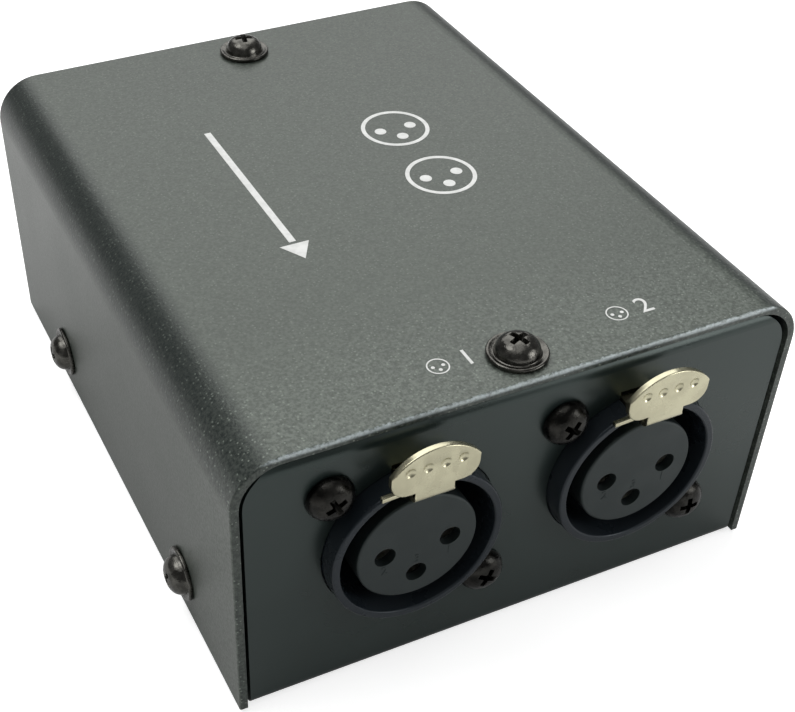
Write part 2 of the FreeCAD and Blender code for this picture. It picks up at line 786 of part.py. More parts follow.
def make_housing(number):
    """Moulded shell: collar, mounting plate, barrel, screw bosses, foot and latch turret."""
    name = f"xlr_{number}_housing"
    body = new_body(name)
    half = sketch_on(body, f"{name}_half", "YZ_Plane")
    outline(half, [
        (-mm.collar_stand, 0), (-mm.collar_stand, mm.bore_radius + mm.collar_front_wall),
        (mm.panel_recess, collar_base_radius), (panel_back, collar_base_radius),
        (panel_back, barrel_radius), (mm.barrel_end, barrel_radius), (mm.barrel_end, 0),
    ])
    revolve(body, half, "H_Axis")
    mount = sketch_on(body, f"{name}_mount", "XZ_Plane", -panel_back)
    box_outline(mount, -mount_half, mount_half, -mount_high, mount_high)
    pad(body, mount, mm.mount_sheet, reverse=True)
    round_edges(body, f"{name}_mount_corners", mm.mount_corner, lambda edge, middle: (
        lies_along(edge, Y_AXIS) and near(abs(middle.x), mount_half)
        and near(abs(middle.z), mount_high)))
    mount_back = panel_back + mm.mount_sheet
    bosses = sketch_on(body, f"{name}_bosses", "XZ_Plane", -mount_back)
    for way in (-1, 1):
        circle(bosses, screw_pattern * way, -screw_pattern * way, mm.boss_radius)
    pad(body, bosses, mm.boss_length, reverse=True)
    foot = sketch_on(body, f"{name}_foot", "XZ_Plane", -mm.foot_front)
    box_outline(foot, -mm.foot_half_width, mm.foot_half_width, socket_to_board, -mm.foot_top)
    pad(body, foot, mm.barrel_end - mm.foot_front, reverse=True)
    pegs = sketch_on(body, f"{name}_pegs", "XY_Plane", socket_to_board)
    for way in (-1, 1):
        circle(pegs, mm.peg_spread * way, mm.peg_depth, mm.peg_radius)
    pad(body, pegs, mm.board_sheet + mm.peg_reach, reverse=True)
    turret = sketch_on(body, f"{name}_turret", "XZ_Plane", -panel_back)
    box_outline(turret, -mm.turret_half_width, mm.turret_half_width, mm.foot_top, turret_top)
    pad(body, turret, mm.turret_end - panel_back, reverse=True)
    hollow_housing(body, name, mount_back)
    return keep(place_in_socket(body, number))


def hollow_housing(body, name, mount_back):
    """Cuts the bore, the insert's seat, the screw holes, the latch's way and the pin's hole."""
    bore = sketch_on(body, f"{name}_bore", "XZ_Plane", mm.collar_stand + mm.overrun)
    circle(bore, 0, 0, mm.bore_radius)
    cut(body, bore, mm.collar_stand + mm.overrun + mm.bore_depth)
    seat = sketch_on(body, f"{name}_insert_seat", "XZ_Plane", -mm.bore_depth + mm.overrun)
    circle(seat, 0, 0, insert_radius + mm.insert_fit)
    cut(body, seat, mm.barrel_end - mm.bore_depth + mm.overrun * 2)
    round_edges(body, f"{name}_rim", mm.collar_round, lambda edge, middle: (
        near(middle.y, -mm.collar_stand)))
    pilots = sketch_on(body, f"{name}_pilots", "XZ_Plane", mm.overrun - panel_back)
    for way in (-1, 1):
        circle(pilots, screw_pattern * way, -screw_pattern * way, tapped_radius)
    cut(body, pilots, mount_back + mm.boss_length - panel_back + mm.overrun * 2)
    above = turret_top + mm.overrun
    ahead = -mm.collar_stand - mm.overrun
    slot_half = mm.nose_half_width + mm.channel_fit
    channel = sketch_on(body, f"{name}_channel", "XY_Plane", above)
    box_outline(channel, -channel_half, channel_half, panel_back, mm.channel_end)
    cut(body, channel, above - channel_floor)
    shelf = sketch_on(body, f"{name}_shelf", "XY_Plane", above)
    box_outline(shelf, -channel_half, channel_half, ahead, panel_back)
    cut(body, shelf, above - strap_under + mm.latch_rest_fit)
    slot = sketch_on(body, f"{name}_nose_slot", "XY_Plane", above)
    box_outline(slot, -slot_half, slot_half, ahead, panel_back)
    cut(body, slot, above - nose_low)
    hole = sketch_on(body, f"{name}_pin_hole", "YZ_Plane")
    circle(hole, mm.pivot_depth, pivot_rise, mm.pin_radius + mm.pin_fit)
    cut(body, hole, mm.turret_half_width * 2 + mm.overrun * 2, both_ways=True)


def contact_spots():
    """The three contacts' places from the socket's axis."""
    spots = []
    for turn in CONTACT_TURNS:
        across = round(math.cos(math.radians(turn)))
        up = round(math.sin(math.radians(turn)))
        spots.append((contact_circle * across if across else 0,
                      contact_circle * up if up else 0))
    return spots


def make_insert(number):
    """Contact carrier: a round block with three holes."""
    name = f"xlr_{number}_insert"
    body = new_body(name)
    half = sketch_on(body, f"{name}_half", "YZ_Plane")
    outline(half, [
        (insert_face, 0), (insert_face, insert_radius), (mm.barrel_end, insert_radius),
        (mm.barrel_end, 0),
    ])
    revolve(body, half, "H_Axis")
    round_edges(body, f"{name}_face_edge", mm.insert_round, lambda edge, middle: (
        near(middle.y, insert_face)))
    mouths = sketch_on(body, f"{name}_mouths", "XZ_Plane", -insert_face + mm.overrun)
    seats = sketch_on(body, f"{name}_seats", "XZ_Plane", -insert_face - mm.contact_mouth_depth)
    for x, z in contact_spots():
        circle(mouths, x, z, mm.contact_mouth_radius)
        circle(seats, x, z, mm.sleeve_radius + mm.sleeve_fit)
    cut(body, mouths, mm.contact_mouth_depth + mm.overrun * 2)
    cut(body, seats, mm.barrel_end - insert_face)
    return keep(place_in_socket(body, number))


def make_cap(number):
    """Rear cap: a disc behind the barrel that keeps the insert and the contacts in."""
    name = f"xlr_{number}_cap"
    body = new_body(name)
    disc = sketch_on(body, f"{name}_disc", "XZ_Plane", -mm.barrel_end)
    circle(disc, 0, 0, mm.bore_radius - mm.cap_inset)
    pad(body, disc, mm.cap_sheet, reverse=True)
    holes = sketch_on(body, f"{name}_holes", "XZ_Plane", mm.overrun - mm.barrel_end)
    for x, z in contact_spots():
        circle(holes, x, z, mm.stub_radius + mm.sleeve_fit)
    cut(body, holes, mm.cap_sheet + mm.overrun * 2)
    return keep(place_in_socket(body, number))


def make_contacts(number):
    """Three turned sleeves, each with a stub and a leg that goes through the board."""
    members = []
    start = insert_face + mm.contact_mouth_depth + mm.sleeve_fit
    sleeve_end = start + mm.sleeve_length
    bottom = sleeve_end - (mm.sleeve_radius - mm.sleeve_bore)
    leg_back = contact_leg_depth + mm.contact_leg / 2
    for index, (x, z) in enumerate(contact_spots(), start=1):
        name = f"xlr_{number}_contact_{index}"
        body = new_body(name)
        half = sketch_on(body, f"{name}_half", "YZ_Plane")
        outline(half, [
            (start, mm.sleeve_bore), (start, mm.sleeve_radius), (sleeve_end, mm.sleeve_radius),
            (sleeve_end, mm.stub_radius), (leg_back, mm.stub_radius), (leg_back, 0),
            (bottom, 0), (bottom, mm.sleeve_bore),
        ])
        revolve(body, half, "H_Axis")
        leg = sketch_on(body, f"{name}_leg", "XZ_Plane", mm.contact_leg / 2 - contact_leg_depth)
        box_outline(leg, -mm.contact_leg / 2, mm.contact_leg / 2,
                    socket_to_under - mm.leg_reach - z, 0)
        pad(body, leg, mm.contact_leg, reverse=True)
        members.append(place_in_socket(body, number, x, 0, z))
    return keep_group(f"xlr_{number}_contacts", members)


def make_latch(number):
    """Stamped lever: oval tab, neck, strap with nose and ears, eye for the pin, spring tail."""
    name = f"xlr_{number}_latch"
    body = new_body(name)
    tab_bottom = mm.bore_radius + mm.tab_over_bore
    tab_shoulder = mm.bore_radius + mm.shoulder_over_bore
    tab_top = mm.bore_radius + mm.tab_top_over_bore
    side_low = tab_bottom + mm.tab_low_corner
    corner_in = mm.tab_half_width - mm.tab_low_corner
    crown = tab_top - tab_shoulder
    neck_low = strap_under + mm.strap_bend
    crown_radius = Length(
        (mm.tab_half_width.value ** 2 + crown.value ** 2) / (2 * crown.value),
        f"((({mm.tab_half_width.text})^2 + ({crown.text})^2) / (2 * {crown.text}))")
    face = sketch_on(body, f"{name}_tab", "XZ_Plane", mm.tab_stand - mm.latch_sheet)
    outline(face, [
        (-mm.neck_half_width, neck_low), (mm.neck_half_width, neck_low),
        (mm.neck_half_width, tab_bottom), (corner_in, tab_bottom, mm.tab_low_corner, 1),
        (mm.tab_half_width, side_low), (mm.tab_half_width, tab_shoulder, crown_radius, 1),
        (0, tab_top, crown_radius, 1), (-mm.tab_half_width, tab_shoulder),
        (-mm.tab_half_width, side_low, mm.tab_low_corner, 1), (-corner_in, tab_bottom),
        (-mm.neck_half_width, tab_bottom),
    ])
    pad(body, face, mm.latch_sheet)
    round_edges(body, f"{name}_tab_edge", mm.tab_edge_round, lambda edge, middle: (
        near(middle.y, -mm.tab_stand) and middle.z > neck_low.value + TOUCH))
    add_latch_strap(body, name)
    return keep(place_in_socket(body, number))


def add_latch_strap(body, name):
    """The part of the lever behind its tab."""
    width = mm.neck_half_width * 2
    tab_back = mm.latch_sheet - mm.tab_stand
    inner_bend = mm.strap_bend - mm.latch_sheet
    strap = sketch_on(body, f"{name}_strap", "YZ_Plane")
    outline(strap, [
        (-mm.tab_stand, strap_under + mm.strap_bend, mm.strap_bend, 1),
        (mm.strap_bend - mm.tab_stand, strap_under), (mm.pivot_depth, strap_under),
        (mm.pivot_depth, strap_top), (mm.strap_bend - mm.tab_stand, strap_top, inner_bend, -1),
        (tab_back, strap_under + mm.strap_bend),
    ])
    pad(body, strap, width, both_ways=True)
    eye = sketch_on(body, f"{name}_eye", "YZ_Plane")
    circle(eye, mm.pivot_depth, pivot_rise, mm.eye_radius)
    pad(body, eye, width, both_ways=True)
    tail_back = mm.pivot_depth + mm.eye_radius
    tail = sketch_on(body, f"{name}_tail", "YZ_Plane")
    box_outline(tail, tail_back - mm.latch_sheet, tail_back, pivot_rise,
                mm.bore_radius + mm.tail_over_bore)
    pad(body, tail, width, both_ways=True)
    nose = sketch_on(body, f"{name}_nose", "YZ_Plane")
    nose_back = mm.nose_length - mm.nose_front
    outline(nose, [
        (-mm.nose_front, strap_top), (-mm.nose_front, nose_low + mm.nose_ramp),
        (mm.nose_ramp - mm.nose_front, nose_low), (nose_back, nose_low),
        (nose_back, strap_top),
    ])
    pad(body, nose, mm.nose_half_width * 2, both_ways=True)
    ears = sketch_on(body, f"{name}_ears", "XZ_Plane", mm.ear_front - mm.ear_length)
    ear_under = strap_top - mm.ear_sheet
    outline(ears, [
        (-mm.neck_half_width, ear_under), (mm.neck_half_width, ear_under),
        (mm.ear_half_width, ear_under - mm.ear_droop),
        (mm.ear_half_width, strap_top - mm.ear_droop), (mm.neck_half_width, strap_top),
        (-mm.neck_half_width, strap_top), (-mm.ear_half_width, strap_top - mm.ear_droop),
        (-mm.ear_half_width, ear_under - mm.ear_droop),
    ])
    pad(body, ears, mm.ear_length)
    hole = sketch_on(body, f"{name}_eye_hole", "YZ_Plane")
    circle(hole, mm.pivot_depth, pivot_rise, mm.pin_radius + mm.pin_fit)
    cut(body, hole, width + mm.overrun * 2, both_ways=True)


def make_pin(number):
    """Steel hinge pin across the turret."""
    pin = doc.addObject("Part::Cylinder", f"xlr_{number}_latch_pin")
    pin.Label = f"xlr_{number}_latch_pin"
    bind(pin, "Radius", mm.pin_radius)
    bind(pin, "Height", mm.pin_half_length * 2)
    place_in_socket(pin, number, -mm.pin_half_length, mm.pivot_depth, pivot_rise,
                    Rotation(Y_AXIS, 90))
    return keep(pin)


def make_spring(number):
    """Coil spring between the latch's tail and the end of its channel."""
    name = f"xlr_{number}_latch_spring"
    body = new_body(name)
    start = mm.pivot_depth + mm.eye_radius + mm.pin_fit
    room = mm.channel_end - start - mm.spring_wire
    wire = sketch_on(body, f"{name}_wire", "XZ_Plane")
    circle(wire, mm.spring_radius, mm.spring_wire / 2, mm.spring_wire / 2)
    coil = body.newObject("PartDesign::AdditiveHelix", f"{name}_coil")
    coil.Profile = wire
    coil.ReferenceAxis = (wire, ["V_Axis"])
    coil.Mode = "pitch-height-angle"
    bind(coil, "Pitch", room / SPRING_TURNS)
    bind(coil, "Height", room)
    doc.recompute()
    place_in_socket(body, number, 0, start, mm.bore_radius + mm.spring_over_bore,
                    Rotation(X_AXIS, -90))
    gap = room.value / SPRING_TURNS - mm.spring_wire.value
    print(f"{name}: least gap between turns {gap:.2f} mm")
    return keep(body)


def make_socket_screws(number):
    """Two pan-head screws that hold a housing to the panel."""
    members = []
    for name, way in (("upper", -1), ("lower", 1)):
        screw = make_screw(f"xlr_{number}_screw_{name}", mm.pan_head_radius, mm.pan_head_rise,
                           mm.pan_head_round, mm.socket_shank)
        members.append(place_in_socket(screw, number, screw_pattern * way, mm.panel_recess,
                                       -screw_pattern * way, Rotation(X_AXIS, 90)))
    return keep_group(f"xlr_{number}_screws", members)


# Circuit board and its supports

def standoff_places():
    """Where the four standoffs stand."""
    spread = board_half_width - mm.standoff_side_inset
    front = cover_end - mm.standoff_front_inset
    rear = cover_end - mm.standoff_rear_inset
    return [(spread * way, y) for way in (-1, 1) for y in (-front, rear)]


def on_board(shares):
    """A place on the board from its shares of the half width and half length."""
    return board_half_width * shares[0], board_middle + board_half_length * shares[1]


def blade_leg_depths():
    """How far in front of the inlet's mouth its upper and lower legs go down."""
    first = mm.inlet_length + mm.blade_leg_gap
    return first + mm.blade_leg_step, first


def make_board():
    """Circuit board with holes for every leg, peg and screw."""
    body = new_body("circuit_board")
    plan = sketch_on(body, "board_plan", "XY_Plane", board_under)
    box_outline(plan, -board_half_width, board_half_width, -board_front, board_rear)
    pad(body, plan, mm.board_sheet)
    round_edges(body, "board_corners", mm.board_corner, lambda edge, middle: (
        lies_along(edge, Z_AXIS)))
    holes = sketch_on(body, "board_holes", "XY_Plane", board_top + mm.overrun)
    for x, y in standoff_places():
        circle(holes, x, y, clearance_radius)
    leg_hole = mm.contact_leg / 2 * math.sqrt(2) + mm.leg_fit
    for way in SOCKET_SIDES.values():
        middle = socket_middle * way
        for side in (-1, 1):
            circle(holes, middle + mm.peg_spread * side, mm.peg_depth - cover_end,
                   mm.peg_radius + mm.peg_fit)
        for x, _ in contact_spots():
            circle(holes, middle + x, contact_leg_depth - cover_end, leg_hole)
    small_hole = mm.blade_width / 2 + mm.leg_fit
    for depth in blade_leg_depths():
        for side in (-1, 1):
            circle(holes, mm.blade_spread * side, inlet_mouth - depth, small_hole)
    for side in (-1, 1):
        box_outline(holes, tab_inside() * side - mm.leg_fit * side,
                    mm.inlet_width / 2 * side + mm.leg_fit * side,
                    inlet_mouth - mm.inlet_tab_depth - mm.inlet_tab_width / 2 - mm.leg_fit,
                    inlet_mouth - mm.inlet_tab_depth + mm.inlet_tab_width / 2 + mm.leg_fit)
        circle(holes, lamp_offset + mm.lamp_lead_spread * side, lamp_lead_place(),
               mm.lamp_lead / 2 * math.sqrt(2) + mm.leg_fit)
    round_hole = mm.round_leg + mm.leg_fit
    crystal_x, crystal_y = on_board(CRYSTAL_SHARE)
    for side in (-1, 1):
        circle(holes, crystal_x + mm.crystal_leg_spread * side, crystal_y, round_hole)
        for shares in CAPACITOR_SHARES:
            x, y = on_board(shares)
            circle(holes, x + mm.capacitor_leg_spread * side, y, round_hole)
    cut(body, holes, mm.board_sheet + mm.overrun * 2)
    return keep(body)


def make_standoffs():
    """Four hexagonal standoffs, each with a spigot in the floor, and their screws."""
    posts, screws = [], []
    for index, (x, y) in enumerate(standoff_places(), start=1):
        name = f"standoff_{index}"
        body = new_body(name)
        plan = sketch_on(body, f"{name}_plan", "XY_Plane")
        corners = []
        for corner in range(HEXAGON):
            turn = 2 * math.pi * (corner + 0.5) / HEXAGON
            across, up = round(math.cos(turn), 6), round(math.sin(turn), 6)
            corners.append((mm.standoff_radius * across if across else 0, mm.standoff_radius * up))
        outline(plan, corners)
        pad(body, plan, mm.standoff_height)
        spigot = sketch_on(body, f"{name}_spigot", "XY_Plane")
        circle(spigot, 0, 0, mm.spigot_radius)
        pad(body, spigot, mm.tray_sheet - mm.spigot_set_back, reverse=True)
        hole = sketch_on(body, f"{name}_hole", "XY_Plane", mm.standoff_height + mm.overrun)
        circle(hole, 0, 0, tapped_radius)
        cut(body, hole, mm.standoff_height + mm.overrun)
        posts.append(place(body, x, y, mm.tray_sheet))
        screw = make_screw(f"board_screw_{index}", mm.case_head_radius, mm.case_head_rise,
                           mm.case_head_round, mm.board_shank)
        screws.append(place(screw, x, y, board_top))
    keep_group("standoffs", posts)
    keep_group("board_screws", screws)


# USB inlet, with its mouth at the rear

def place_in_inlet(obj, x=0, y=0, z=0):
    """Puts an object at a place measured from the middle of the inlet's mouth."""
    return place(obj, x, inlet_mouth + y, inlet_rise + z)


def tab_inside():
    """Inner face of the shell's solder tabs."""
    return mm.inlet_width / 2 - mm.inlet_sheet


def make_inlet_shell():
    """Square metal tube with two tabs that go through the board."""
    body = new_body("usb_socket_shell")
    half_width, half_height = mm.inlet_width / 2, mm.inlet_height / 2
    mouth = sketch_on(body, "usb_shell_mouth", "XZ_Plane")
    box_outline(mouth, -half_width, half_width, -half_height, half_height)
    box_outline(mouth, -tab_inside(), tab_inside(),
                mm.inlet_sheet - half_height, half_height - mm.inlet_sheet)
    pad(body, mouth, mm.inlet_length)
    tabs = sketch_on(body, "usb_shell_tabs", "XZ_Plane",
                     mm.inlet_tab_depth - mm.inlet_tab_width / 2)
    for side in (-1, 1):
        box_outline(tabs, tab_inside() * side, half_width * side,
                    -half_height - mm.board_sheet - mm.leg_reach, 0)
    pad(body, tabs, mm.inlet_tab_width)
    return keep(place_in_inlet(body))


def make_inlet_core():
    """Insulator that fills the shell, with the plug's cavity, the tongue and contact slots."""
    body = new_body("usb_socket_insulator")
    half_width = tab_inside() - mm.inlet_core_fit
    half_height = mm.inlet_height / 2 - mm.inlet_sheet - mm.inlet_core_fit
    block = sketch_on(body, "usb_core_block", "XZ_Plane", mm.inlet_core_set_back)
    box_outline(block, -half_width, half_width, -half_height, half_height)
    pad(body, block, mm.inlet_length - mm.inlet_core_set_back)
    wide, high = mm.mouth_width / 2, mm.mouth_height / 2
    cavity = sketch_on(body, "usb_core_cavity", "XZ_Plane", mm.inlet_core_set_back - mm.overrun)
    outline(cavity, [
        (-wide, -high), (wide, -high), (wide, high - mm.mouth_chamfer),
        (wide - mm.mouth_chamfer, high), (mm.mouth_chamfer - wide, high),
        (-wide, high - mm.mouth_chamfer),
    ])
    box_outline(cavity, -mm.tongue_width / 2, mm.tongue_width / 2,
                -mm.tongue_height / 2, mm.tongue_height / 2)
    cut(body, cavity, mm.mouth_depth + mm.overrun, reverse=True)
    slots = sketch_on(body, "usb_core_slots", "XZ_Plane", mm.mouth_depth + mm.inlet_core_set_back
                      - mm.overrun)
    slot_half = mm.blade_width / 2 + mm.blade_fit
    for side in (-1, 1):
        for level in (-1, 1):
            x = mm.blade_spread * side
            box_outline(slots, x - slot_half, x + slot_half, mm.tongue_height / 2 * level,
                        (mm.tongue_height / 2 + mm.blade_sheet + mm.blade_fit) * level)
    cut(body, slots, mm.inlet_length, reverse=True)
    return keep(place_in_inlet(body))


def make_inlet_contacts():
    """Four bent blades: two above the tongue and two below it."""
    members = []
    start = -(mm.inlet_core_set_back + mm.blade_set_back)
    to_under = board_under - inlet_rise - mm.leg_reach
    for level, depth in zip((1, -1), blade_leg_depths()):
        inner = mm.tongue_height / 2 * level
        outer = (mm.tongue_height / 2 + mm.blade_sheet) * level
        low, high = (inner, outer) if level > 0 else (outer, inner)
        leg_rear = mm.blade_sheet / 2 - depth
        leg_front = -mm.blade_sheet / 2 - depth
        for side in (-1, 1):
            name = f"usb_blade_{'upper' if level > 0 else 'lower'}_{'left' if side < 0 else 'right'}"
            body = new_body(name)
            profile = sketch_on(body, f"{name}_side", "YZ_Plane")
            outline(profile, [
                (start, low), (start, high), (leg_front, high), (leg_front, to_under),
                (leg_rear, to_under), (leg_rear, low),
            ])
            pad(body, profile, mm.blade_width, both_ways=True)
            members.append(place_in_inlet(body, mm.blade_spread * side))
    return keep_group("usb_socket_contacts", members)


def lamp_lead_place():
    """Where the lamp's leads go down."""
    return panel_face + mm.lamp_stand - mm.lamp_length - mm.lamp_lead_back


def make_lamp():
    """Round lamp that looks through the rear panel, with two bent leads."""
    body = new_body("status_led")
    tip = mm.lamp_stand
    back = mm.lamp_stand - mm.lamp_length
    half = sketch_on(body, "status_led_half", "YZ_Plane")
    outline(half, [
        (tip, 0), (tip, mm.lamp_radius), (back + mm.lamp_flange_sheet, mm.lamp_radius),
        (back + mm.lamp_flange_sheet, mm.lamp_flange_radius), (back, mm.lamp_flange_radius),
        (back, 0),
    ])
    revolve(body, half, "H_Axis")
    round_edges(body, "status_led_dome", mm.lamp_dome, lambda edge, middle: near(middle.y, tip))
    thick = mm.lamp_lead / 2
    lead_middle = back - mm.lamp_lead_back
    lead_low = board_under - lamp_rise - mm.leg_reach
    for name, side in (("left", -1), ("right", 1)):
        x = mm.lamp_lead_spread * side
        lead = sketch_on(body, f"status_led_lead_{name}", "YZ_Plane", x - thick)
        outline(lead, [
            (back + mm.lamp_lead, -thick), (back + mm.lamp_lead, thick),
            (lead_middle - thick, thick), (lead_middle - thick, lead_low),
            (lead_middle + thick, lead_low),
            (lead_middle + thick, -thick),
        ])
        pad(body, lead, mm.lamp_lead)
    return keep(place(body, lamp_offset, panel_face, lamp_rise))


# Parts on the board

def add_leads(body, name, role, half_body, height, lead_width, pitch, count, sides=(-1, 1)):
    """A row of bent leads along the sides of a chip's body."""
    middle = height / 2
    sheet = mm.lead_sheet
    first = -(pitch * ((count - 1) / 2)) - lead_width / 2
    across = sketch_on(body, name, role, first if role == "YZ_Plane" else -first - lead_width)
    for side in sides:
        outline(across, [
            ((half_body - sheet) * side, middle), ((half_body + mm.lead_out) * side, middle),
            ((half_body + mm.lead_out) * side, sheet), ((half_body + mm.lead_foot) * side, sheet),
            ((half_body + mm.lead_foot) * side, 0), ((half_body + mm.lead_out - sheet) * side, 0),
            ((half_body + mm.lead_out - sheet) * side, middle - sheet),
            ((half_body - sheet) * side, middle - sheet),
        ])
    lead = pad(body, across, lead_width)
    row = body.newObject("PartDesign::LinearPattern", f"{name}_row")
    row.Originals = [lead]
    row.Direction = (across, ["N_Axis"])
    row.Reversed = role != "YZ_Plane"
    bind(row, "Length", pitch * (count - 1))
    row.Occurrences = count
    body.Tip = row
    doc.recompute()


def chip_body(name, length, width, height):
    """The moulded block of a chip, a little above the board."""
    body = new_body(name)
    block = sketch_on(body, f"{name}_block", "XY_Plane", mm.chip_standoff)
    box_outline(block, -length / 2, length / 2, -width / 2, width / 2)
    pad(body, block, height - mm.chip_standoff)
    return body


def make_chips():
    """Controller, two line drivers and the voltage regulator."""
    controller = chip_body("controller_chip", mm.controller_side, mm.controller_side,
                           mm.controller_height)
    for name, role in (("controller_leads_y", "YZ_Plane"), ("controller_leads_x", "XZ_Plane")):
        add_leads(controller, name, role, mm.controller_side / 2, mm.controller_height,
                  mm.controller_lead, mm.controller_pitch, CONTROLLER_LEAD_COUNT)
    keep(place(controller, *on_board(CONTROLLER_SHARE), board_top))
    drivers = []
    for index, shares in enumerate(DRIVER_SHARES, start=1):
        name = f"driver_chip_{index}"
        driver = chip_body(name, mm.driver_length, mm.driver_width, mm.driver_height)
        add_leads(driver, f"{name}_leads", "YZ_Plane", mm.driver_width / 2, mm.driver_height,
                  mm.driver_lead, mm.driver_pitch, DRIVER_LEAD_COUNT)
        drivers.append(place(driver, *on_board(shares), board_top))
    keep_group("driver_chips", drivers)
    regulator = chip_body("regulator", mm.regulator_length, mm.regulator_width,
                          mm.regulator_height)
    add_leads(regulator, "regulator_leads", "YZ_Plane", mm.regulator_width / 2,
              mm.regulator_height, mm.regulator_lead, mm.regulator_pitch, REGULATOR_LEAD_COUNT, (-1,))
    tab = sketch_on(regulator, "regulator_tab", "YZ_Plane")
    box_outline(tab, mm.regulator_width / 2 - mm.lead_sheet, mm.regulator_width / 2 + mm.lead_foot,
                0, mm.lead_sheet)
    pad(regulator, tab, mm.regulator_tab, both_ways=True)
    keep(place(regulator, *on_board(REGULATOR_SHARE), board_top))


def slot_outline(sketch, length, width):
    """An outline with straight sides and half-round ends."""
    straight, radius = (length - width) / 2, width / 2
    outline(sketch, [
        (-straight, -radius), (straight, -radius, radius, 1), (straight + radius, 0, radius, 1),
        (straight, radius), (-straight, radius, radius, 1), (-straight - radius, 0, radius, 1),
    ])


def add_round_legs(body, name, spread):
    """Two round legs down through the board."""
    legs = sketch_on(body, f"{name}_legs", "XY_Plane", mm.crystal_rim_sheet)
    for side in (-1, 1):
        circle(legs, spread * side, 0, mm.round_leg)
    pad(body, legs, mm.crystal_rim_sheet + mm.board_sheet + mm.leg_reach, reverse=True)


def make_crystal():
    """Metal can with a rim and half-round ends."""
    body = new_body("crystal")
    rim = sketch_on(body, "crystal_rim", "XY_Plane")
    slot_outline(rim, mm.crystal_length, mm.crystal_width)
    pad(body, rim, mm.crystal_rim_sheet)
    can = sketch_on(body, "crystal_can", "XY_Plane")
    slot_outline(can, mm.crystal_length - mm.crystal_rim * 2, mm.crystal_width - mm.crystal_rim * 2)
    pad(body, can, mm.crystal_height)
    round_edges(body, "crystal_top_edge", mm.crystal_round, lambda edge, middle: (
        near(middle.z, mm.crystal_height)))
    add_round_legs(body, "crystal", mm.crystal_leg_spread)
    return keep(place(body, *on_board(CRYSTAL_SHARE), board_top))


def make_capacitors():
    """Two round cans with a rolled groove near the foot."""
    members = []
    for index, shares in enumerate(CAPACITOR_SHARES, start=1):
        name = f"capacitor_{index}"
        body = new_body(name)
        waist = mm.capacitor_radius - mm.capacitor_groove
        half = sketch_on(body, f"{name}_half", "XZ_Plane")
        outline(half, [
            (0, 0), (mm.capacitor_radius, 0),
            (mm.capacitor_radius, mm.capacitor_groove_rise - mm.capacitor_groove),
            (waist, mm.capacitor_groove_rise),
            (mm.capacitor_radius, mm.capacitor_groove_rise + mm.capacitor_groove),
            (mm.capacitor_radius, mm.capacitor_height), (0, mm.capacitor_height),
        ])
        revolve(body, half, "V_Axis")
        round_edges(body, f"{name}_top_edge", mm.capacitor_round, lambda edge, middle: (
            near(middle.z, mm.capacitor_height)))
        add_round_legs(body, name, mm.capacitor_leg_spread)
        members.append(place(body, *on_board(shares), board_top))
    return keep_group("capacitors", members)


def make_resistors():
    """A row of chip resistors in front of the controller."""
    members = []
    _, row = on_board((0, RESISTOR_ROW_SHARE))
    for index in range(RESISTOR_COUNT):
        chip = doc.addObject("Part::Box", f"chip_resistor_{index + 1}")
        bind(chip, "Length", mm.resistor_length)
        bind(chip, "Width", mm.resistor_width)
        bind(chip, "Height", mm.resistor_height)
        x = mm.resistor_step * (index - (RESISTOR_COUNT - 1) / 2) - mm.resistor_length / 2
        members.append(place(chip, x, row - mm.resistor_width / 2, board_top))
    return keep_group("chip_resistors", members)


def check_and_export():
    """Stops on any failed object or bad shape, then writes one STEP file per sub-part."""
    doc.recompute()
    for obj in doc.Objects:
        if "Invalid" in obj.State or "Error" in obj.State:
            raise RuntimeError(f"{obj.Name} failed: {obj.State}")
    for node in nodes:
        if node.Shape.isNull() or not node.Shape.isValid():
            raise RuntimeError(f"{node.Label} has no valid shape")
    os.makedirs("parts", exist_ok=True)
    for node in nodes:
        node.Shape.exportStep(f"parts/{node.Label}.step")
        print(f"{node.Label}: {len(node.Shape.Solids)} solids, {node.Shape.Volume:.1f} mm3")


make_cover()
make_chassis()
make_case_screws()
for socket_number in SOCKET_SIDES:
    make_housing(socket_number)
    make_insert(socket_number)
    make_cap(socket_number)
    make_contacts(socket_number)
    make_latch(socket_number)
    make_pin(socket_number)
    make_spring(socket_number)
    make_socket_screws(socket_number)
make_board()
make_standoffs()
make_inlet_shell()
make_inlet_core()
make_inlet_contacts()
make_lamp()
make_chips()
make_crystal()
make_capacitors()
make_resistors()
check_and_export()
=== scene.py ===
"""Looks of a small two-output USB DMX interface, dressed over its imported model."""

import logging
import math
from contextlib import contextmanager
from dataclasses import dataclass
from enum import Enum
from typing import Callable, Iterator, Mapping, Sequence, Union

import bmesh
import bpy
from mathutils import Euler, Matrix, Vector


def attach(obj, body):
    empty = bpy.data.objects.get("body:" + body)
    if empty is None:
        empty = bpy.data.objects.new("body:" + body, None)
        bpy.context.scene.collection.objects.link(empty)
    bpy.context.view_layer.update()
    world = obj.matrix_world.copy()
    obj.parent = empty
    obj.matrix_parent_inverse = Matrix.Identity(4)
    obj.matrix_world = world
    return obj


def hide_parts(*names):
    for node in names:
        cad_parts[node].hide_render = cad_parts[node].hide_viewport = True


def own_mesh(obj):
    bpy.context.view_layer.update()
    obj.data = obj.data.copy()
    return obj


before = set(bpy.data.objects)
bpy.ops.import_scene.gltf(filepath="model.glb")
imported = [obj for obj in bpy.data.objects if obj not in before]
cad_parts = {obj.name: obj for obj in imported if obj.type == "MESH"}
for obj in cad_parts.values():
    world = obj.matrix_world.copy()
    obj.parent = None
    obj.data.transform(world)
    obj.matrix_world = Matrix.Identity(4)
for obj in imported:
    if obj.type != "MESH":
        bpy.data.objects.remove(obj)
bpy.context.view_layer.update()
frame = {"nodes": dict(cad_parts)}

log = logging.getLogger("usb_dmx_interface")

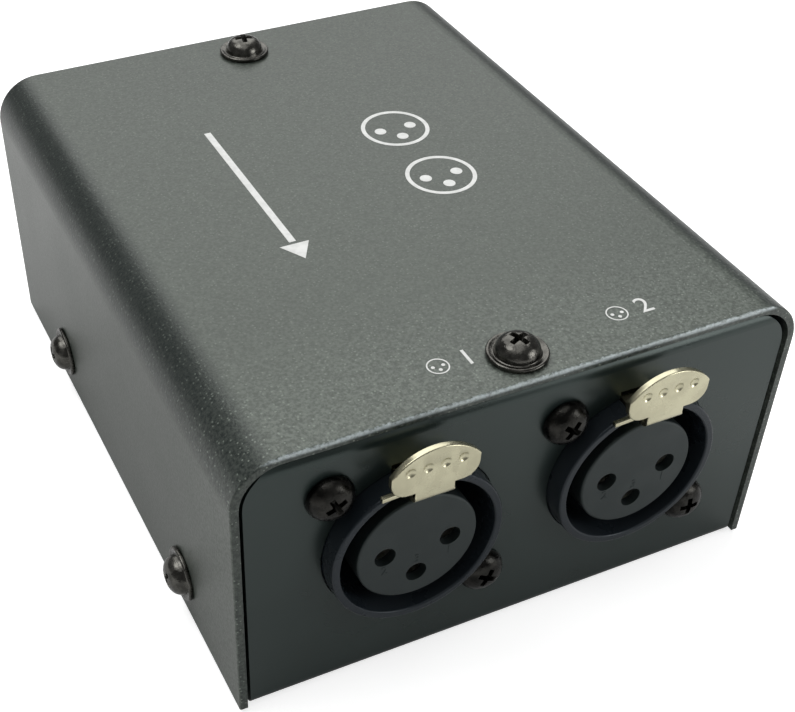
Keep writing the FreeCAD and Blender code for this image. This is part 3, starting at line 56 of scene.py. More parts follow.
MM = 0.001
Pair = tuple[float, float]
Place = Colour = tuple[float, float, float]
Obj = bpy.types.Object
Tree = bpy.types.NodeTree
Socket = Union[bpy.types.NodeSocket, float, Sequence[float]]
Outputs = Mapping[Union[str, int], bpy.types.NodeSocket]
PointTest = Callable[[Vector, Vector], bool]

SOCKET_X = 14.4
SOCKET_Y = -43.75
SOCKET_Z = 20.5
SOCKET_SIDES = ((1, -1), (2, 1))
CASE_TOP = 38.3
CASE_HALF_WIDTH = 35.55
CASE_HALF_LENGTH = 43.75
DUST = (0.5, 0.5, 0.48)
WHITE = (1.0, 1.0, 1.0)
PAPER = (0.8, 0.8, 0.8)


class Body(Enum):
    """The bodies that pieces ride on."""

    CASE = "case"
    LATCH_1 = "latch_1"
    LATCH_2 = "latch_2"


def mm(x: float, y: float, z: float) -> Vector:
    """A point in metres from millimetres."""
    return Vector((x, y, z)) * MM


def rgba(colour: Colour) -> tuple[float, float, float, float]:
    """A colour with full alpha."""
    return (*colour, 1.0)


# Nodes


class NodeDesk:
    """Adds and links the nodes of one material, world or group."""

    def __init__(self, tree: Tree) -> None:
        """Keeps the tree to fill and clears what it came with."""
        self.tree = tree
        self.tree.nodes.clear()

    def add(self, kind: str, inputs: dict[Union[str, int], Socket] | None = None,
            **settings: object) -> bpy.types.Node:
        """Adds a node, sets it up and feeds its inputs.

        Args:
            kind: The node's type, such as ShaderNodeMath.
            inputs: Sockets or values by input name or number.
            **settings: Properties of the node.

        Returns:
            The new node.
        """
        node = self.tree.nodes.new(kind)
        for name, value in settings.items():
            setattr(node, name, value)
        for key, value in (inputs or {}).items():
            if isinstance(value, bpy.types.NodeSocket):
                self.tree.links.new(value, node.inputs[key])
            else:
                node.inputs[key].default_value = value
        return node

    def math(self, operation: str, first: Socket, second: Socket = 0.0,
             third: Socket = 0.0) -> bpy.types.NodeSocket:
        """One sum on values.

        Args:
            operation: The Math node's operation.
            first: Its first value.
            second: Its second value.
            third: Its third value.

        Returns:
            The result.
        """
        return self.add("ShaderNodeMath", {0: first, 1: second, 2: third},
                        operation=operation).outputs[0]

    def ramp(self, value: Socket, low: float, high: float,
             to_low: Socket = 0.0, to_high: Socket = 1.0) -> bpy.types.NodeSocket:
        """Maps a value smoothly from one range to another and stops at its ends.

        Args:
            value: The value.
            low: The start of its range.
            high: The end of its range.
            to_low: The result at the start.
            to_high: The result at the end.

        Returns:
            The result.
        """
        node = self.add("ShaderNodeMapRange", {"Value": value, "From Min": low, "From Max": high,
                                               "To Min": to_low, "To Max": to_high},
                        interpolation_type="SMOOTHSTEP")
        return node.outputs["Result"]

    def mix(self, share: Socket, first: Socket, second: Socket) -> bpy.types.NodeSocket:
        """Mixes two colours.

        Args:
            share: How much of the second shows.
            first: The colour at share 0.
            second: The colour at share 1.

        Returns:
            The mixed colour.
        """
        return self.add("ShaderNodeMix", {0: share, 6: first, 7: second},
                        data_type="RGBA").outputs[2]

    def noise(self, place: Socket, size: Socket, detail: float = 3.0,
              roughness: float = 0.5) -> bpy.types.NodeSocket:
        """Cloudy values from 0 to 1.

        Args:
            place: Coordinates in metres.
            size: The clouds per metre.
            detail: How many finer layers are added.
            roughness: How strong those layers are.

        Returns:
            The value.
        """
        node = self.add("ShaderNodeTexNoise", {"Vector": place, "Scale": size, "Detail": detail,
                                               "Roughness": roughness})
        return node.outputs["Fac"]

    def axes(self, place: Socket) -> Outputs:
        """The X, Y and Z of a place or a direction."""
        return self.add("ShaderNodeSeparateXYZ", {0: place}).outputs

    def effect(self, tree: Tree, inputs: dict[str, Socket]) -> Outputs:
        """Adds a shared group's node and gives its outputs."""
        return self.add("ShaderNodeGroup", inputs, node_tree=tree).outputs


class SharedEffect:
    """Node groups that several finishes use. Each is built once."""

    _built: dict[str, Tree] = {}

    @classmethod
    def _group(cls, name: str, values: dict[str, float], outputs: Sequence[str],
               fill: Callable[[NodeDesk, Outputs], dict[str, Socket]]) -> Tree:
        """Builds a group, or gives the one that is there.

        Args:
            name: The group's name.
            values: The default of each input beside Place.
            outputs: The name of each output.
            fill: Makes the nodes from the inputs and returns the outputs' sockets by name.

        Returns:
            The group.
        """
        if name in cls._built:
            return cls._built[name]
        tree = bpy.data.node_groups.new(name, "ShaderNodeTree")
        desk = NodeDesk(tree)
        tree.interface.new_socket(name="Place", in_out="INPUT", socket_type="NodeSocketVector")
        for label, default in values.items():
            made = tree.interface.new_socket(name=label, in_out="INPUT",
                                             socket_type="NodeSocketFloat")
            made.default_value = default
        for label in outputs:
            tree.interface.new_socket(name=label, in_out="OUTPUT", socket_type="NodeSocketFloat")
        desk.add("NodeGroupOutput", fill(desk, desk.add("NodeGroupInput").outputs))
        cls._built[name] = tree
        return tree

    @classmethod
    def grain(cls) -> Tree:
        """Fine bumps of paint and moulded plastic: coarse pebbles with finer ones on them."""
        def fill(desk: NodeDesk, given: Outputs) -> dict[str, Socket]:
            coarse = desk.noise(given["Place"], given["Per metre"], 2.0, 0.5)
            finer = desk.math("MULTIPLY", given["Per metre"], 2.7)
            fine = desk.noise(given["Place"], finer, 1.0, 0.5)
            height = desk.math("MULTIPLY_ADD", fine, 0.35, coarse)
            return {"Height": height, "Mask": desk.ramp(height, 0.45, 0.9)}
        return cls._group("fine_grain", {"Per metre": 3000.0}, ("Height", "Mask"), fill)

    @classmethod
    def clouds(cls) -> Tree:
        """Slow change of tone over a surface, from handling and from uneven spraying."""
        def fill(desk: NodeDesk, given: Outputs) -> dict[str, Socket]:
            slow = desk.noise(given["Place"], given["Per metre"], 4.0, 0.55)
            return {"Mask": desk.ramp(slow, 0.32, 0.68)}
        return cls._group("slow_clouds", {"Per metre": 60.0}, ("Mask",), fill)

    @classmethod
    def specks(cls) -> Tree:
        """Sparse small light specks, as in textured paint."""
        def fill(desk: NodeDesk, given: Outputs) -> dict[str, Socket]:
            cells = desk.add("ShaderNodeTexVoronoi", {"Vector": given["Place"],
                                                      "Scale": given["Per metre"]})
            dots = desk.ramp(cells.outputs["Distance"], 0.16, 0.34, 1.0, 0.0)
            few = desk.add("ShaderNodeSeparateColor", {0: cells.outputs["Color"]})
            chosen = desk.math("LESS_THAN", few.outputs[0], given["Share"])
            return {"Mask": desk.math("MULTIPLY", dots, chosen)}
        return cls._group("light_specks", {"Per metre": 2200.0, "Share": 0.2}, ("Mask",), fill)

    @classmethod
    def end_wear(cls) -> Tree:
        """Bright rubbed specks along the upper arris at the two ends of a sheet along Y."""
        def fill(desk: NodeDesk, given: Outputs) -> dict[str, Socket]:
            _, along, rise = desk.axes(given["Place"])
            along = desk.math("ABSOLUTE", along)
            inner = desk.math("SUBTRACT", given["End"], given["Width"])
            near_end = desk.add("ShaderNodeMapRange", {"Value": along, "From Min": inner,
                                                       "From Max": given["End"]})
            high = desk.ramp(rise, 37.6 * MM, 38.1 * MM)
            patches = desk.noise(given["Place"], 2600.0, 3.0, 0.65)
            worn = desk.ramp(desk.math("ADD", near_end.outputs[0], patches), 1.08, 1.6)
            return {"Mask": desk.math("MULTIPLY", worn, high)}
        return cls._group("end_wear", {"End": CASE_HALF_LENGTH * MM, "Width": 0.6 * MM},
                          ("Mask",), fill)

    @classmethod
    def brushing(cls) -> Tree:
        """Fine parallel lines of drawn or rolled metal, along X."""
        def fill(desk: NodeDesk, given: Outputs) -> dict[str, Socket]:
            stretched = desk.add("ShaderNodeMapping", {"Vector": given["Place"],
                                                       "Scale": (0.05, 1.0, 1.0)})
            return {"Mask": desk.noise(stretched.outputs[0], given["Per metre"], 2.0, 0.6)}
        return cls._group("brushed_lines", {"Per metre": 9000.0}, ("Mask",), fill)

    @classmethod
    def dust(cls) -> Tree:
        """A thin pale film on faces that look up."""
        def fill(desk: NodeDesk, given: Outputs) -> dict[str, Socket]:
            facing = desk.add("ShaderNodeNewGeometry")
            up = desk.ramp(desk.axes(facing.outputs["Normal"])[2], 0.3, 1.0)
            patches = desk.noise(given["Place"], 220.0, 6.0, 0.65)
            film = desk.math("MULTIPLY", up, desk.ramp(patches, 0.4, 0.75))
            return {"Mask": desk.math("MULTIPLY", film, given["Amount"])}
        return cls._group("settled_dust", {"Amount": 0.1}, ("Mask",), fill)


@dataclass
class Coat:
    """What a finish's nodes have made so far, with the grain group's outputs."""

    colour: Socket
    rough: Socket
    height: Socket
    grain: Outputs


@dataclass(frozen=True)
class Finish:
    """A surface with tone changes, grain in its normals and an uneven sheen.

    Sizes are in millimetres: clouds_size and grain_size are the width of one patch or pebble,
    and grain_depth is its height.
    """

    name: str
    colour: Colour
    tone: Colour
    roughness: float
    roughness_spread: float = 0.05
    metallic: float = 0.0
    specular: float = 0.5
    clouds_size: float = 12.0
    grain_size: float = 0.3
    grain_depth: float = 0.01
    dust: float = 0.0
    gloss_tint: Colour = WHITE

    def build(self) -> bpy.types.Material:
        """Makes the material.

        Returns:
            The material, ready to assign.
        """
        material = bpy.data.materials.new(self.name)
        material.use_nodes = True
        desk = NodeDesk(material.node_tree)
        place = desk.add("ShaderNodeTexCoord").outputs["Object"]
        grain = desk.effect(SharedEffect.grain(), {"Place": place,
                                                   "Per metre": 1.0 / (self.grain_size * MM)})
        patch = desk.effect(SharedEffect.clouds(), {
            "Place": place, "Per metre": 1.0 / (self.clouds_size * MM)})["Mask"]
        rough = desk.ramp(patch, 0.0, 1.0, self.roughness - self.roughness_spread,
                          self.roughness + self.roughness_spread)
        coat = Coat(desk.mix(patch, rgba(self.colour), rgba(self.tone)), rough,
                    grain["Height"], grain)
        self.detail(desk, place, coat)
        if self.dust:
            film = desk.effect(SharedEffect.dust(), {"Place": place, "Amount": self.dust})
            coat.colour = desk.mix(film["Mask"], coat.colour, rgba(DUST))
        bump = desk.add("ShaderNodeBump", {"Distance": self.grain_depth * MM,
                                           "Height": coat.height})
        shader = desk.add("ShaderNodeBsdfPrincipled", {
            "Metallic": self.metallic, "Specular IOR Level": self.specular,
            "Base Color": coat.colour, "Roughness": coat.rough, "Normal": bump.outputs[0]})
        self.sheen(shader)
        desk.add("ShaderNodeOutputMaterial", {"Surface": shader.outputs[0]})
        return material

    def detail(self, desk: NodeDesk, place: Socket, coat: Coat) -> None:
        """Adds to the coat what this finish has beside the plain one.

        Args:
            desk: The material's nodes.
            place: Object coordinates.
            coat: Colour, roughness and height so far, changed in place.
        """

    def sheen(self, shader: bpy.types.Node) -> None:
        """Sets plain values on the shader's own sockets."""
        shader.inputs["Specular Tint"].default_value = rgba(self.gloss_tint)


@dataclass(frozen=True)
class CoverPaint(Finish):
    """Textured case paint with light specks, rubbed ends, and painted shade on the long bends and
    cut ends.

    bend_out and bend_up are where, in millimetres from the middle and from the floor, the painted
    shade of the long bends sets in and is full; it stands in for the bends' dark reflection. end_in
    is the same from the cut ends, whose painted shade stands in for the shadow in the gap under
    them.
    """

    speck: Colour = (0.17, 0.195, 0.17)
    speck_share: float = 0.42
    rubbed: Colour = (0.6, 0.67, 0.69)
    rubbed_share: float = 0.85
    # Painted shade: the darker tone put on the bends and cut ends in place of their dark reflection
    # and gap shadow.
    thin_tone: Colour = (0.01, 0.014, 0.014)
    bend_out: Pair = (29.6, 31.6)
    bend_up: Pair = (31.0, 34.5)
    end_in: Pair = (0.06, 0.01)

    def dark_mask(self, desk: NodeDesk, place: Socket) -> bpy.types.NodeSocket:
        """1 on the two long bends and the cut ends, where shade is painted in: the bends' dark
        reflection and the gap's shadow.

        Args:
            desk: The material's nodes.
            place: Object coordinates.

        Returns:
            The mask.
        """
        side, along, rise = desk.axes(place)
        out = desk.ramp(desk.math("ABSOLUTE", side), *(edge * MM for edge in self.bend_out))
        up = desk.ramp(rise, *(edge * MM for edge in self.bend_up))
        end = desk.ramp(desk.math("ABSOLUTE", along),
                        *((CASE_HALF_LENGTH - edge) * MM for edge in self.end_in))
        return desk.math("MAXIMUM", desk.math("MULTIPLY", out, up), end)

    def detail(self, desk: NodeDesk, place: Socket, coat: Coat) -> None:
        """Adds the painted shade of the bends and ends, the specks and the rubbed ends. Args are as
        in Finish.detail.
        """
        thin = self.dark_mask(desk, place)
        # Painted shade: the bends and cut ends are darkened where the real box shows a dark
        # reflection and a gap shadow.
        coat.colour = desk.mix(thin, coat.colour, rgba(self.thin_tone))
        strength = desk.ramp(desk.axes(place)[1], -CASE_HALF_LENGTH * MM, -22.0 * MM, 0.95, 0.4)
        # Pale pebbles are made weaker on the painted shade of the bends and ends.
        pebbles = desk.math("MULTIPLY", coat.grain["Mask"],
                            desk.math("MULTIPLY", strength, desk.ramp(thin, 0.0, 1.0, 0.58, 0.3)))
        specks = desk.effect(SharedEffect.specks(), {"Place": place, "Share": self.speck_share})
        for mask in (pebbles, desk.math("MULTIPLY", specks["Mask"], strength)):
            coat.colour = desk.mix(mask, coat.colour, rgba(self.speck))
        worn = desk.effect(SharedEffect.end_wear(), {"Place": place})["Mask"]
        coat.colour = desk.mix(desk.math("MULTIPLY", worn, self.rubbed_share), coat.colour,
                               rgba(self.rubbed))
        coat.rough = desk.math("MULTIPLY_ADD", worn, -0.12, coat.rough)


@dataclass(frozen=True)
class LatchNickel(Finish):
    """Plated lever with fine rolled lines."""

    streak: float = 0.12
    line_height: float = 0.4

    def detail(self, desk: NodeDesk, place: Socket, coat: Coat) -> None:
        """Adds the lines. Args are as in Finish.detail."""
        lines = desk.effect(SharedEffect.brushing(), {"Place": place})["Mask"]
        streaks = desk.math("MULTIPLY", desk.math("SUBTRACT", lines, 0.5), self.streak)
        coat.rough = desk.math("ADD", coat.rough, streaks)
        coat.height = desk.math("MULTIPLY_ADD", lines, self.line_height, coat.height)


@dataclass(frozen=True)
class BoardMask(Finish):
    """Green solder mask with raised tracks and small tinned via holes."""

    track: Colour = (0.05, 0.27, 0.1)
    track_height: float = 2.0
    tin: Colour = (0.62, 0.62, 0.58)

    def detail(self, desk: NodeDesk, place: Socket, coat: Coat) -> None:
        """Adds tracks and vias. Args are as in Finish.detail."""
        tracks = desk.add("ShaderNodeTexBrick", {
            "Vector": place, "Scale": 260.0, "Mortar Size": 0.035, "Brick Width": 0.9,
            "Row Height": 0.32, "Bias": 0.0}).outputs["Fac"]
        coat.colour = desk.mix(tracks, coat.colour, rgba(self.track))
        cells = desk.add("ShaderNodeTexVoronoi", {"Vector": place, "Scale": 190.0})
        vias = desk.ramp(cells.outputs["Distance"], 0.06, 0.075, 1.0, 0.0)
        coat.colour = desk.mix(vias, coat.colour, rgba(self.tin))
        coat.height = desk.math("MULTIPLY_ADD", tracks, self.track_height, coat.height)


@dataclass(frozen=True)
class ClearTint(Finish):
    """Tinted clear resin of the lamp."""

    def sheen(self, shader: bpy.types.Node) -> None:
        """Lets some light through and adds a gloss coat."""
        shader.inputs["Transmission Weight"].default_value = 0.45
        shader.inputs["Coat Weight"].default_value = 0.3


class Finishes:
    """Every finish of the interface, built once and given out by node or piece."""

    cover = CoverPaint("cover_paint", (0.033, 0.04, 0.034), (0.041, 0.049, 0.042), 0.36, 0.012,
                       clouds_size=18.0, grain_size=0.36, grain_depth=0.03,
                       gloss_tint=(0.93, 1.0, 0.91))
    panel = Finish("panel_paint", (0.008, 0.013, 0.012), (0.011, 0.017, 0.016), 0.3, 0.04,
                   clouds_size=14.0, grain_size=0.5, grain_depth=0.004,
                   gloss_tint=(0.84, 1.0, 0.95))
    screw = Finish("black_screw", (0.055, 0.054, 0.049), (0.12, 0.117, 0.106), 0.22, 0.08,
                   metallic=1.0, clouds_size=1.1, grain_size=0.3, grain_depth=0.022)
    socket_screw = Finish("socket_screw", (0.014, 0.014, 0.013), (0.034, 0.033, 0.03), 0.26, 0.06,
                          metallic=1.0, clouds_size=1.2, grain_size=0.3, grain_depth=0.022)
    housing = Finish("black_moulding", (0.012, 0.016, 0.02), (0.016, 0.02, 0.024), 0.3, 0.05,
                     specular=0.25, clouds_size=6.0, grain_size=0.25, grain_depth=0.006,
                     gloss_tint=(0.86, 0.94, 1.0))
    insert = Finish("grey_moulding", (0.009, 0.013, 0.013), (0.012, 0.016, 0.016), 0.5, 0.05,
                    specular=0.44, clouds_size=5.0, grain_size=0.2, grain_depth=0.006,
                    gloss_tint=(0.88, 1.0, 0.99))
    nickel = LatchNickel("latch_nickel", (0.54, 0.517, 0.367), (0.475, 0.451, 0.32), 0.27, 0.05,
                         metallic=1.0, clouds_size=3.0, grain_size=0.3, grain_depth=0.004)
    silver = Finish("contact_silver", (0.72, 0.71, 0.66), (0.6, 0.59, 0.54), 0.3, 0.06,
                    metallic=1.0, clouds_size=2.0, grain_size=0.2, grain_depth=0.003)
    steel = Finish("bright_steel", (0.56, 0.56, 0.55), (0.48, 0.48, 0.47), 0.3, 0.06,
                   metallic=1.0, clouds_size=2.0, grain_size=0.2, grain_depth=0.003)
    shell = Finish("inlet_nickel", (0.68, 0.68, 0.66), (0.58, 0.58, 0.56), 0.28, 0.06,
                   metallic=1.0, clouds_size=4.0, grain_size=0.3, grain_depth=0.004, dust=0.05)
    core = Finish("inlet_moulding", (0.72, 0.72, 0.68), (0.66, 0.66, 0.62), 0.5, 0.05,
                  clouds_size=5.0, grain_size=0.2, grain_depth=0.005)
    gold = Finish("contact_gold", (0.83, 0.62, 0.26), (0.74, 0.54, 0.22), 0.25, 0.05,
                  metallic=1.0, clouds_size=2.0, grain_size=0.2, grain_depth=0.003)
    brass = Finish("standoff_nickel", (0.66, 0.6, 0.42), (0.58, 0.52, 0.36), 0.3, 0.05,
                   metallic=1.0, clouds_size=2.0, grain_size=0.2, grain_depth=0.004)
    board = BoardMask("board_mask", (0.012, 0.13, 0.05), (0.016, 0.15, 0.06), 0.32, 0.04,
                      clouds_size=15.0, grain_size=0.3, grain_depth=0.006)
    chip = Finish("chip_resin", (0.016, 0.016, 0.017), (0.024, 0.024, 0.025), 0.55, 0.05,
                  clouds_size=2.0, grain_size=0.12, grain_depth=0.008)
    can = Finish("crystal_can", (0.66, 0.66, 0.65), (0.58, 0.58, 0.57), 0.27, 0.05,
                 metallic=1.0, clouds_size=3.0, grain_size=0.2, grain_depth=0.003)
    sleeve = Finish("capacitor_sleeve", (0.012, 0.02, 0.055), (0.016, 0.026, 0.065), 0.28, 0.04,
                    clouds_size=3.0, grain_size=0.4, grain_depth=0.006)
    resistor = Finish("resistor_glaze", (0.02, 0.02, 0.022), (0.03, 0.03, 0.032), 0.4, 0.05,
                      clouds_size=1.0, grain_size=0.1, grain_depth=0.004)
    lamp = ClearTint("lamp_resin", (0.2, 0.62, 0.24), (0.24, 0.68, 0.28), 0.15, 0.04,
                     clouds_size=2.0, grain_size=0.4, grain_depth=0.002)
    ink = Finish("white_print", (0.8, 0.81, 0.79), (0.7, 0.71, 0.69), 0.6, 0.05,
                 clouds_size=1.2, grain_size=0.15, grain_depth=0.01)

    by_node = {
        "cover": cover, "chassis": panel, "circuit_board": board, "standoffs": brass,
        "board_screws": steel, "usb_socket_shell": shell, "usb_socket_insulator": core,
        "usb_socket_contacts": gold, "controller_chip": chip, "driver_chips": chip,
        "regulator": chip, "crystal": can, "capacitors": sleeve, "chip_resistors": resistor,
        "status_led": lamp, "top_screws": screw, "side_screws": screw,
    }
    by_socket_part = {
        "housing": housing, "insert": insert, "cap": insert, "contacts": silver, "latch": nickel,
        "latch_pin": steel, "latch_spring": steel, "screws": socket_screw,
    }

    def __init__(self) -> None:
        """Starts with nothing built."""
        self.made: dict[str, bpy.types.Material] = {}

    def get(self, finish: Finish) -> bpy.types.Material:
        """The material of a finish, built on first use."""
        if finish.name not in self.made:
            self.made[finish.name] = finish.build()
        return self.made[finish.name]

    def dress_frame(self, nodes: dict[str, Obj]) -> None:
        """Gives every carried-over node its finish.

        Args:
            nodes: The nodes by name.
        """
        wanted = dict(self.by_node)
        for number in (1, 2):
            for part, finish in self.by_socket_part.items():
                wanted[f"xlr_{number}_{part}"] = finish
        for name, obj in nodes.items():
            material = self.get(wanted[name])
            if not obj.material_slots:
                obj.data.materials.append(material)
            for slot in obj.material_slots:
                slot.material = material


# Modelling by operators


def deselect() -> None:
    """Leaves edit mode and selects nothing."""
    if bpy.context.object and bpy.context.object.mode != "OBJECT":
        bpy.ops.object.mode_set(mode="OBJECT")
    bpy.ops.object.select_all(action="DESELECT")


def only(obj: Obj) -> None:
    """Makes one object the selected and active one."""
    deselect()
    obj.select_set(True)
    bpy.context.view_layer.objects.active = obj


@contextmanager
def editing(obj: Obj) -> Iterator[None]:
    """Edit mode on one object, with nothing selected inside it.

    Args:
        obj: The mesh object to edit.
    """
    only(obj)
    bpy.ops.object.mode_set(mode="EDIT")
    bpy.ops.mesh.select_mode(type="FACE")
    bpy.ops.mesh.select_all(action="DESELECT")
    yield
    bpy.ops.object.mode_set(mode="OBJECT")


def pick_faces(obj: Obj, wanted: PointTest) -> None:
    """Selects, in edit mode, the faces that a test of their middle and normal accepts."""
    shape = bmesh.from_edit_mesh(obj.data)
    for face in shape.faces:
        face.select_set(bool(wanted(face.calc_center_median(), face.normal)))
    shape.select_flush_mode()
    bmesh.update_edit_mesh(obj.data)


def settle(obj: Obj) -> None:
    """Puts an object's place into its mesh."""
    only(obj)
    bpy.ops.object.transform_apply(location=True, rotation=True, scale=True)


def shift(obj: Obj, x: float, y: float, z: float) -> None:
    """Moves a mesh inside its object by millimetres."""
    obj.data.transform(Matrix.Translation(mm(x, y, z)))


def placed(place: Vector, *turns: tuple[float, str]) -> Matrix:
    """A place in metres, then turns in radians about its own axes one after another."""
    matrix = Matrix.Translation(place)
    for angle, axis in turns:
        matrix = matrix @ Matrix.Rotation(angle, 4, axis)
    return matrix


def cylinder(name: str, sides: int, radius: float, low: float, high: float) -> Obj:
    """An upright cylinder on the Z axis between two heights, in millimetres."""
    deselect()
    bpy.ops.mesh.primitive_cylinder_add(vertices=sides, radius=radius * MM, depth=(high - low) * MM,
                                        location=mm(0, 0, (low + high) / 2))
    obj = bpy.context.object
    obj.name = name
    settle(obj)
    return obj


def block(middle: Vector, size: Vector) -> Obj:
    """A box whose place and size, both in metres, are in its mesh."""
    deselect()
    bpy.ops.mesh.primitive_cube_add(size=1.0, location=middle)
    obj = bpy.context.object
    obj.scale = size
    settle(obj)
    return obj


def apply_modifier(obj: Obj, kind: str, **settings: object) -> None:
    """Adds one modifier and applies it.

    Args:
        obj: The object.
        kind: The modifier's type.
        **settings: Its properties.
    """
    only(obj)
    modifier = obj.modifiers.new(kind.lower(), kind)
    for name, value in settings.items():
        setattr(modifier, name, value)
    bpy.ops.object.modifier_apply(modifier=modifier.name)


def clean_mesh(obj: Obj, distance: float) -> None:
    """Merges vertices closer than a distance in millimetres and drops faces without area."""
    with editing(obj):
        bpy.ops.mesh.select_all(action="SELECT")
        bpy.ops.mesh.remove_doubles(threshold=distance * MM)
        bpy.ops.mesh.select_all(action="SELECT")
        bpy.ops.mesh.dissolve_degenerate(threshold=distance * MM)


def soften(obj: Obj, width: float, segments: int = 2, angle: float = 35.0,
           merge: float = 0.0) -> None:
    """Rounds the sharp edges and smooths the shading.

    Args:
        obj: The object.
        width: The rounding's width in millimetres, or 0 for none.
        segments: The rounding's steps.
        angle: The least angle in degrees of an edge that counts as sharp.
        merge: The distance in millimetres under which vertices are merged after it.
    """
    if width:
        apply_modifier(obj, "BEVEL", width=width * MM, segments=segments, limit_method="ANGLE",
                       angle_limit=math.radians(angle))
    if merge:
        clean_mesh(obj, merge)
    only(obj)
    bpy.ops.object.shade_smooth_by_angle(angle=math.radians(angle))


def turned(name: str, rings: Sequence[Pair], sides: int = 48) -> Obj:
    """A turned solid, upright on Z, shaped ring by ring from its lowest face.

    Args:
        name: The object's name.
        rings: Radius and height of each ring, in millimetres, from the bottom up. The
            first two differ in height.
        sides: How many sides the circle has.

    Returns:
        The object.
    """
    (first_radius, first_z), (second_radius, second_z) = rings[:2]
    obj = cylinder(name, sides, first_radius, first_z, second_z)
    with editing(obj):
        pick_faces(obj, lambda middle, normal: normal.z > 0.9)
        share = second_radius / first_radius
        bpy.ops.transform.resize(value=(share, share, 1), center_override=mm(0, 0, second_z))
        radius, height = second_radius, second_z
        for next_radius, next_z in rings[2:]:
            bpy.ops.mesh.extrude_region_move(
                TRANSFORM_OT_translate={"value": mm(0, 0, next_z - height)})
            share = next_radius / radius
            bpy.ops.transform.resize(value=(share, share, 1), center_override=mm(0, 0, next_z))
            radius, height = next_radius, next_z
    return obj


def put_in_order(obj: Obj) -> None:
    """Numbers a mesh's vertices and faces by their place, so that each run numbers them alike."""
    places = [tuple(vertex.co) for vertex in obj.data.vertices]
    order = sorted(range(len(places)), key=places.__getitem__)
    rank = {old: new for new, old in enumerate(order)}
    faces = []
    for face in obj.data.polygons:
        ring = [rank[index] for index in face.vertices]
        start = ring.index(min(ring))
        faces.append(ring[start:] + ring[:start])
    obj.data.clear_geometry()
    obj.data.from_pydata([places[index] for index in order], [], sorted(faces))


def cut_away(obj: Obj, cutter: Obj) -> None:
    """Cuts one mesh out of another, removes the cutter and puts the result in order."""
    apply_modifier(obj, "BOOLEAN", operation="DIFFERENCE", solver="EXACT", object=cutter)
    bpy.data.objects.remove(cutter)
    put_in_order(obj)


def copied(obj: Obj, name: str, place: Matrix) -> Obj:
    """A copy with its own mesh, whose new place is in that mesh.

    Args:
        obj: The object to copy.
        name: The copy's name.
        place: Where it goes.

    Returns:
        The copy.
    """
    copy = obj.copy()
    copy.data = obj.data.copy()
    copy.name = copy.data.name = name
    copy.data.transform(place)
    bpy.context.scene.collection.objects.link(copy)
    return copy


def joined(name: str, members: Sequence[Obj]) -> Obj:
    """Several meshes made one object.

    Args:
        name: The object's name.
        members: The objects to join.

    Returns:
        The joined object.
    """
    deselect()
    for member in members:
        member.select_set(True)
    bpy.context.view_layer.objects.active = members[0]
    if len(members) > 1:
        bpy.ops.object.join()
    obj = bpy.context.object
    obj.name = obj.data.name = name
    return obj


def mount_piece(obj: Obj, finish: bpy.types.Material,
                body: Body = Body.CASE, stands_for: Sequence[str] = ()) -> Obj:
    """Dresses a finished piece and puts it on its body.

    Args:
        obj: The piece.
        finish: Its material.
        body: The body that it rides on.
        stands_for: The nodes that it replaces.

    Returns:
        The piece.
    """
    obj.data.materials.clear()
    obj.data.materials.append(finish)
    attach(obj, body.value)
    if stands_for:
        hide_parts(*stands_for)
    log.info("%s: %d faces on %s", obj.name, len(obj.data.polygons), body.value)
    return obj


@dataclass
class CrossScrew:
    """One screw with a domed head and a tapered cross recess, its seat at the origin.

    All sizes are in millimetres. With a washer radius of 0 the head has no washer.
    """

    name: str
    head_radius: float
    head_base: float
    head_rise: float
    shank: float
    washer_radius: float = 0.0
    shank_radius: float = 1.45
    recess_reach: float = 1.6
    recess_arm: float = 0.85
    recess_depth: float = 1.3
    recess_taper: float = 0.38
    recess_lift: float = 0.5
    tip: float = 0.35
    dome_steps: int = 8
    dome_fullness: float = 0.72
    flat_radius: float = 0.25

    @property
    def top(self) -> float:
        """The top of the dome above the seat."""
        return self.head_base + self.head_rise

    def rings(self) -> list[Pair]:
        """The turned outline, from the shank's tip to the top of the dome.

        Returns:
            Radius and height of each ring.
        """
        rings = [(self.shank_radius - self.tip, -self.shank),
                 (self.shank_radius, self.tip - self.shank), (self.shank_radius, 0.0)]
        if self.washer_radius:
            rim = self.washer_radius
            rings += [(rim - 0.12, 0.0), (rim, 0.12), (rim, 0.46), (rim - 0.14, 0.58),
                      (rim - 0.36, 0.55), (self.head_radius + 0.14, self.head_base - 0.26),
                      (self.head_radius, self.head_base - 0.14)]
        else:
            rings += [(self.head_radius - 0.1, 0.0), (self.head_radius, 0.12)]
        low = rings[-1][1]
        for step in range(1, self.dome_steps + 1):
            turn = math.pi / 2 * step / (self.dome_steps + 1.2)
            rings.append((self.head_radius * math.cos(turn) ** self.dome_fullness,
                          low + (self.top - low) * math.sin(turn)))
        rings.append((self.flat_radius, self.top))
        return rings

    def recess(self) -> Obj:
        """The tapered cross that is cut out of the head.

        Returns:
            The cutter.
        """
        middle = self.top + (self.recess_lift - self.recess_depth) / 2
        cutter = block(mm(0, 0, middle), mm(self.recess_arm, self.recess_arm,
                                            self.recess_depth + self.recess_lift))
        out = self.recess_reach - self.recess_arm / 2
        with editing(cutter):
            for way in map(Vector, ((1, 0, 0), (-1, 0, 0), (0, 1, 0), (0, -1, 0))):
                pick_faces(cutter, lambda middle, normal: normal.dot(way) > 0.9
                           and math.hypot(middle.x, middle.y) < self.recess_arm * MM)
                bpy.ops.mesh.extrude_region_move(TRANSFORM_OT_translate={"value": way * out * MM})
            pick_faces(cutter, lambda middle, normal: normal.z < -0.9)
            bpy.ops.transform.resize(value=(self.recess_taper, self.recess_taper, 1),
                                     center_override=mm(0, 0, self.top - self.recess_depth))
        return cutter

    def model(self) -> Obj:
        """Makes the screw.

        Returns:
            The screw, upright at the origin.
        """
        obj = turned(self.name, self.rings())
        cut_away(obj, self.recess())
        clean_mesh(obj, 0.01)
        soften(obj, 0.05, 1, merge=0.004)
        return obj


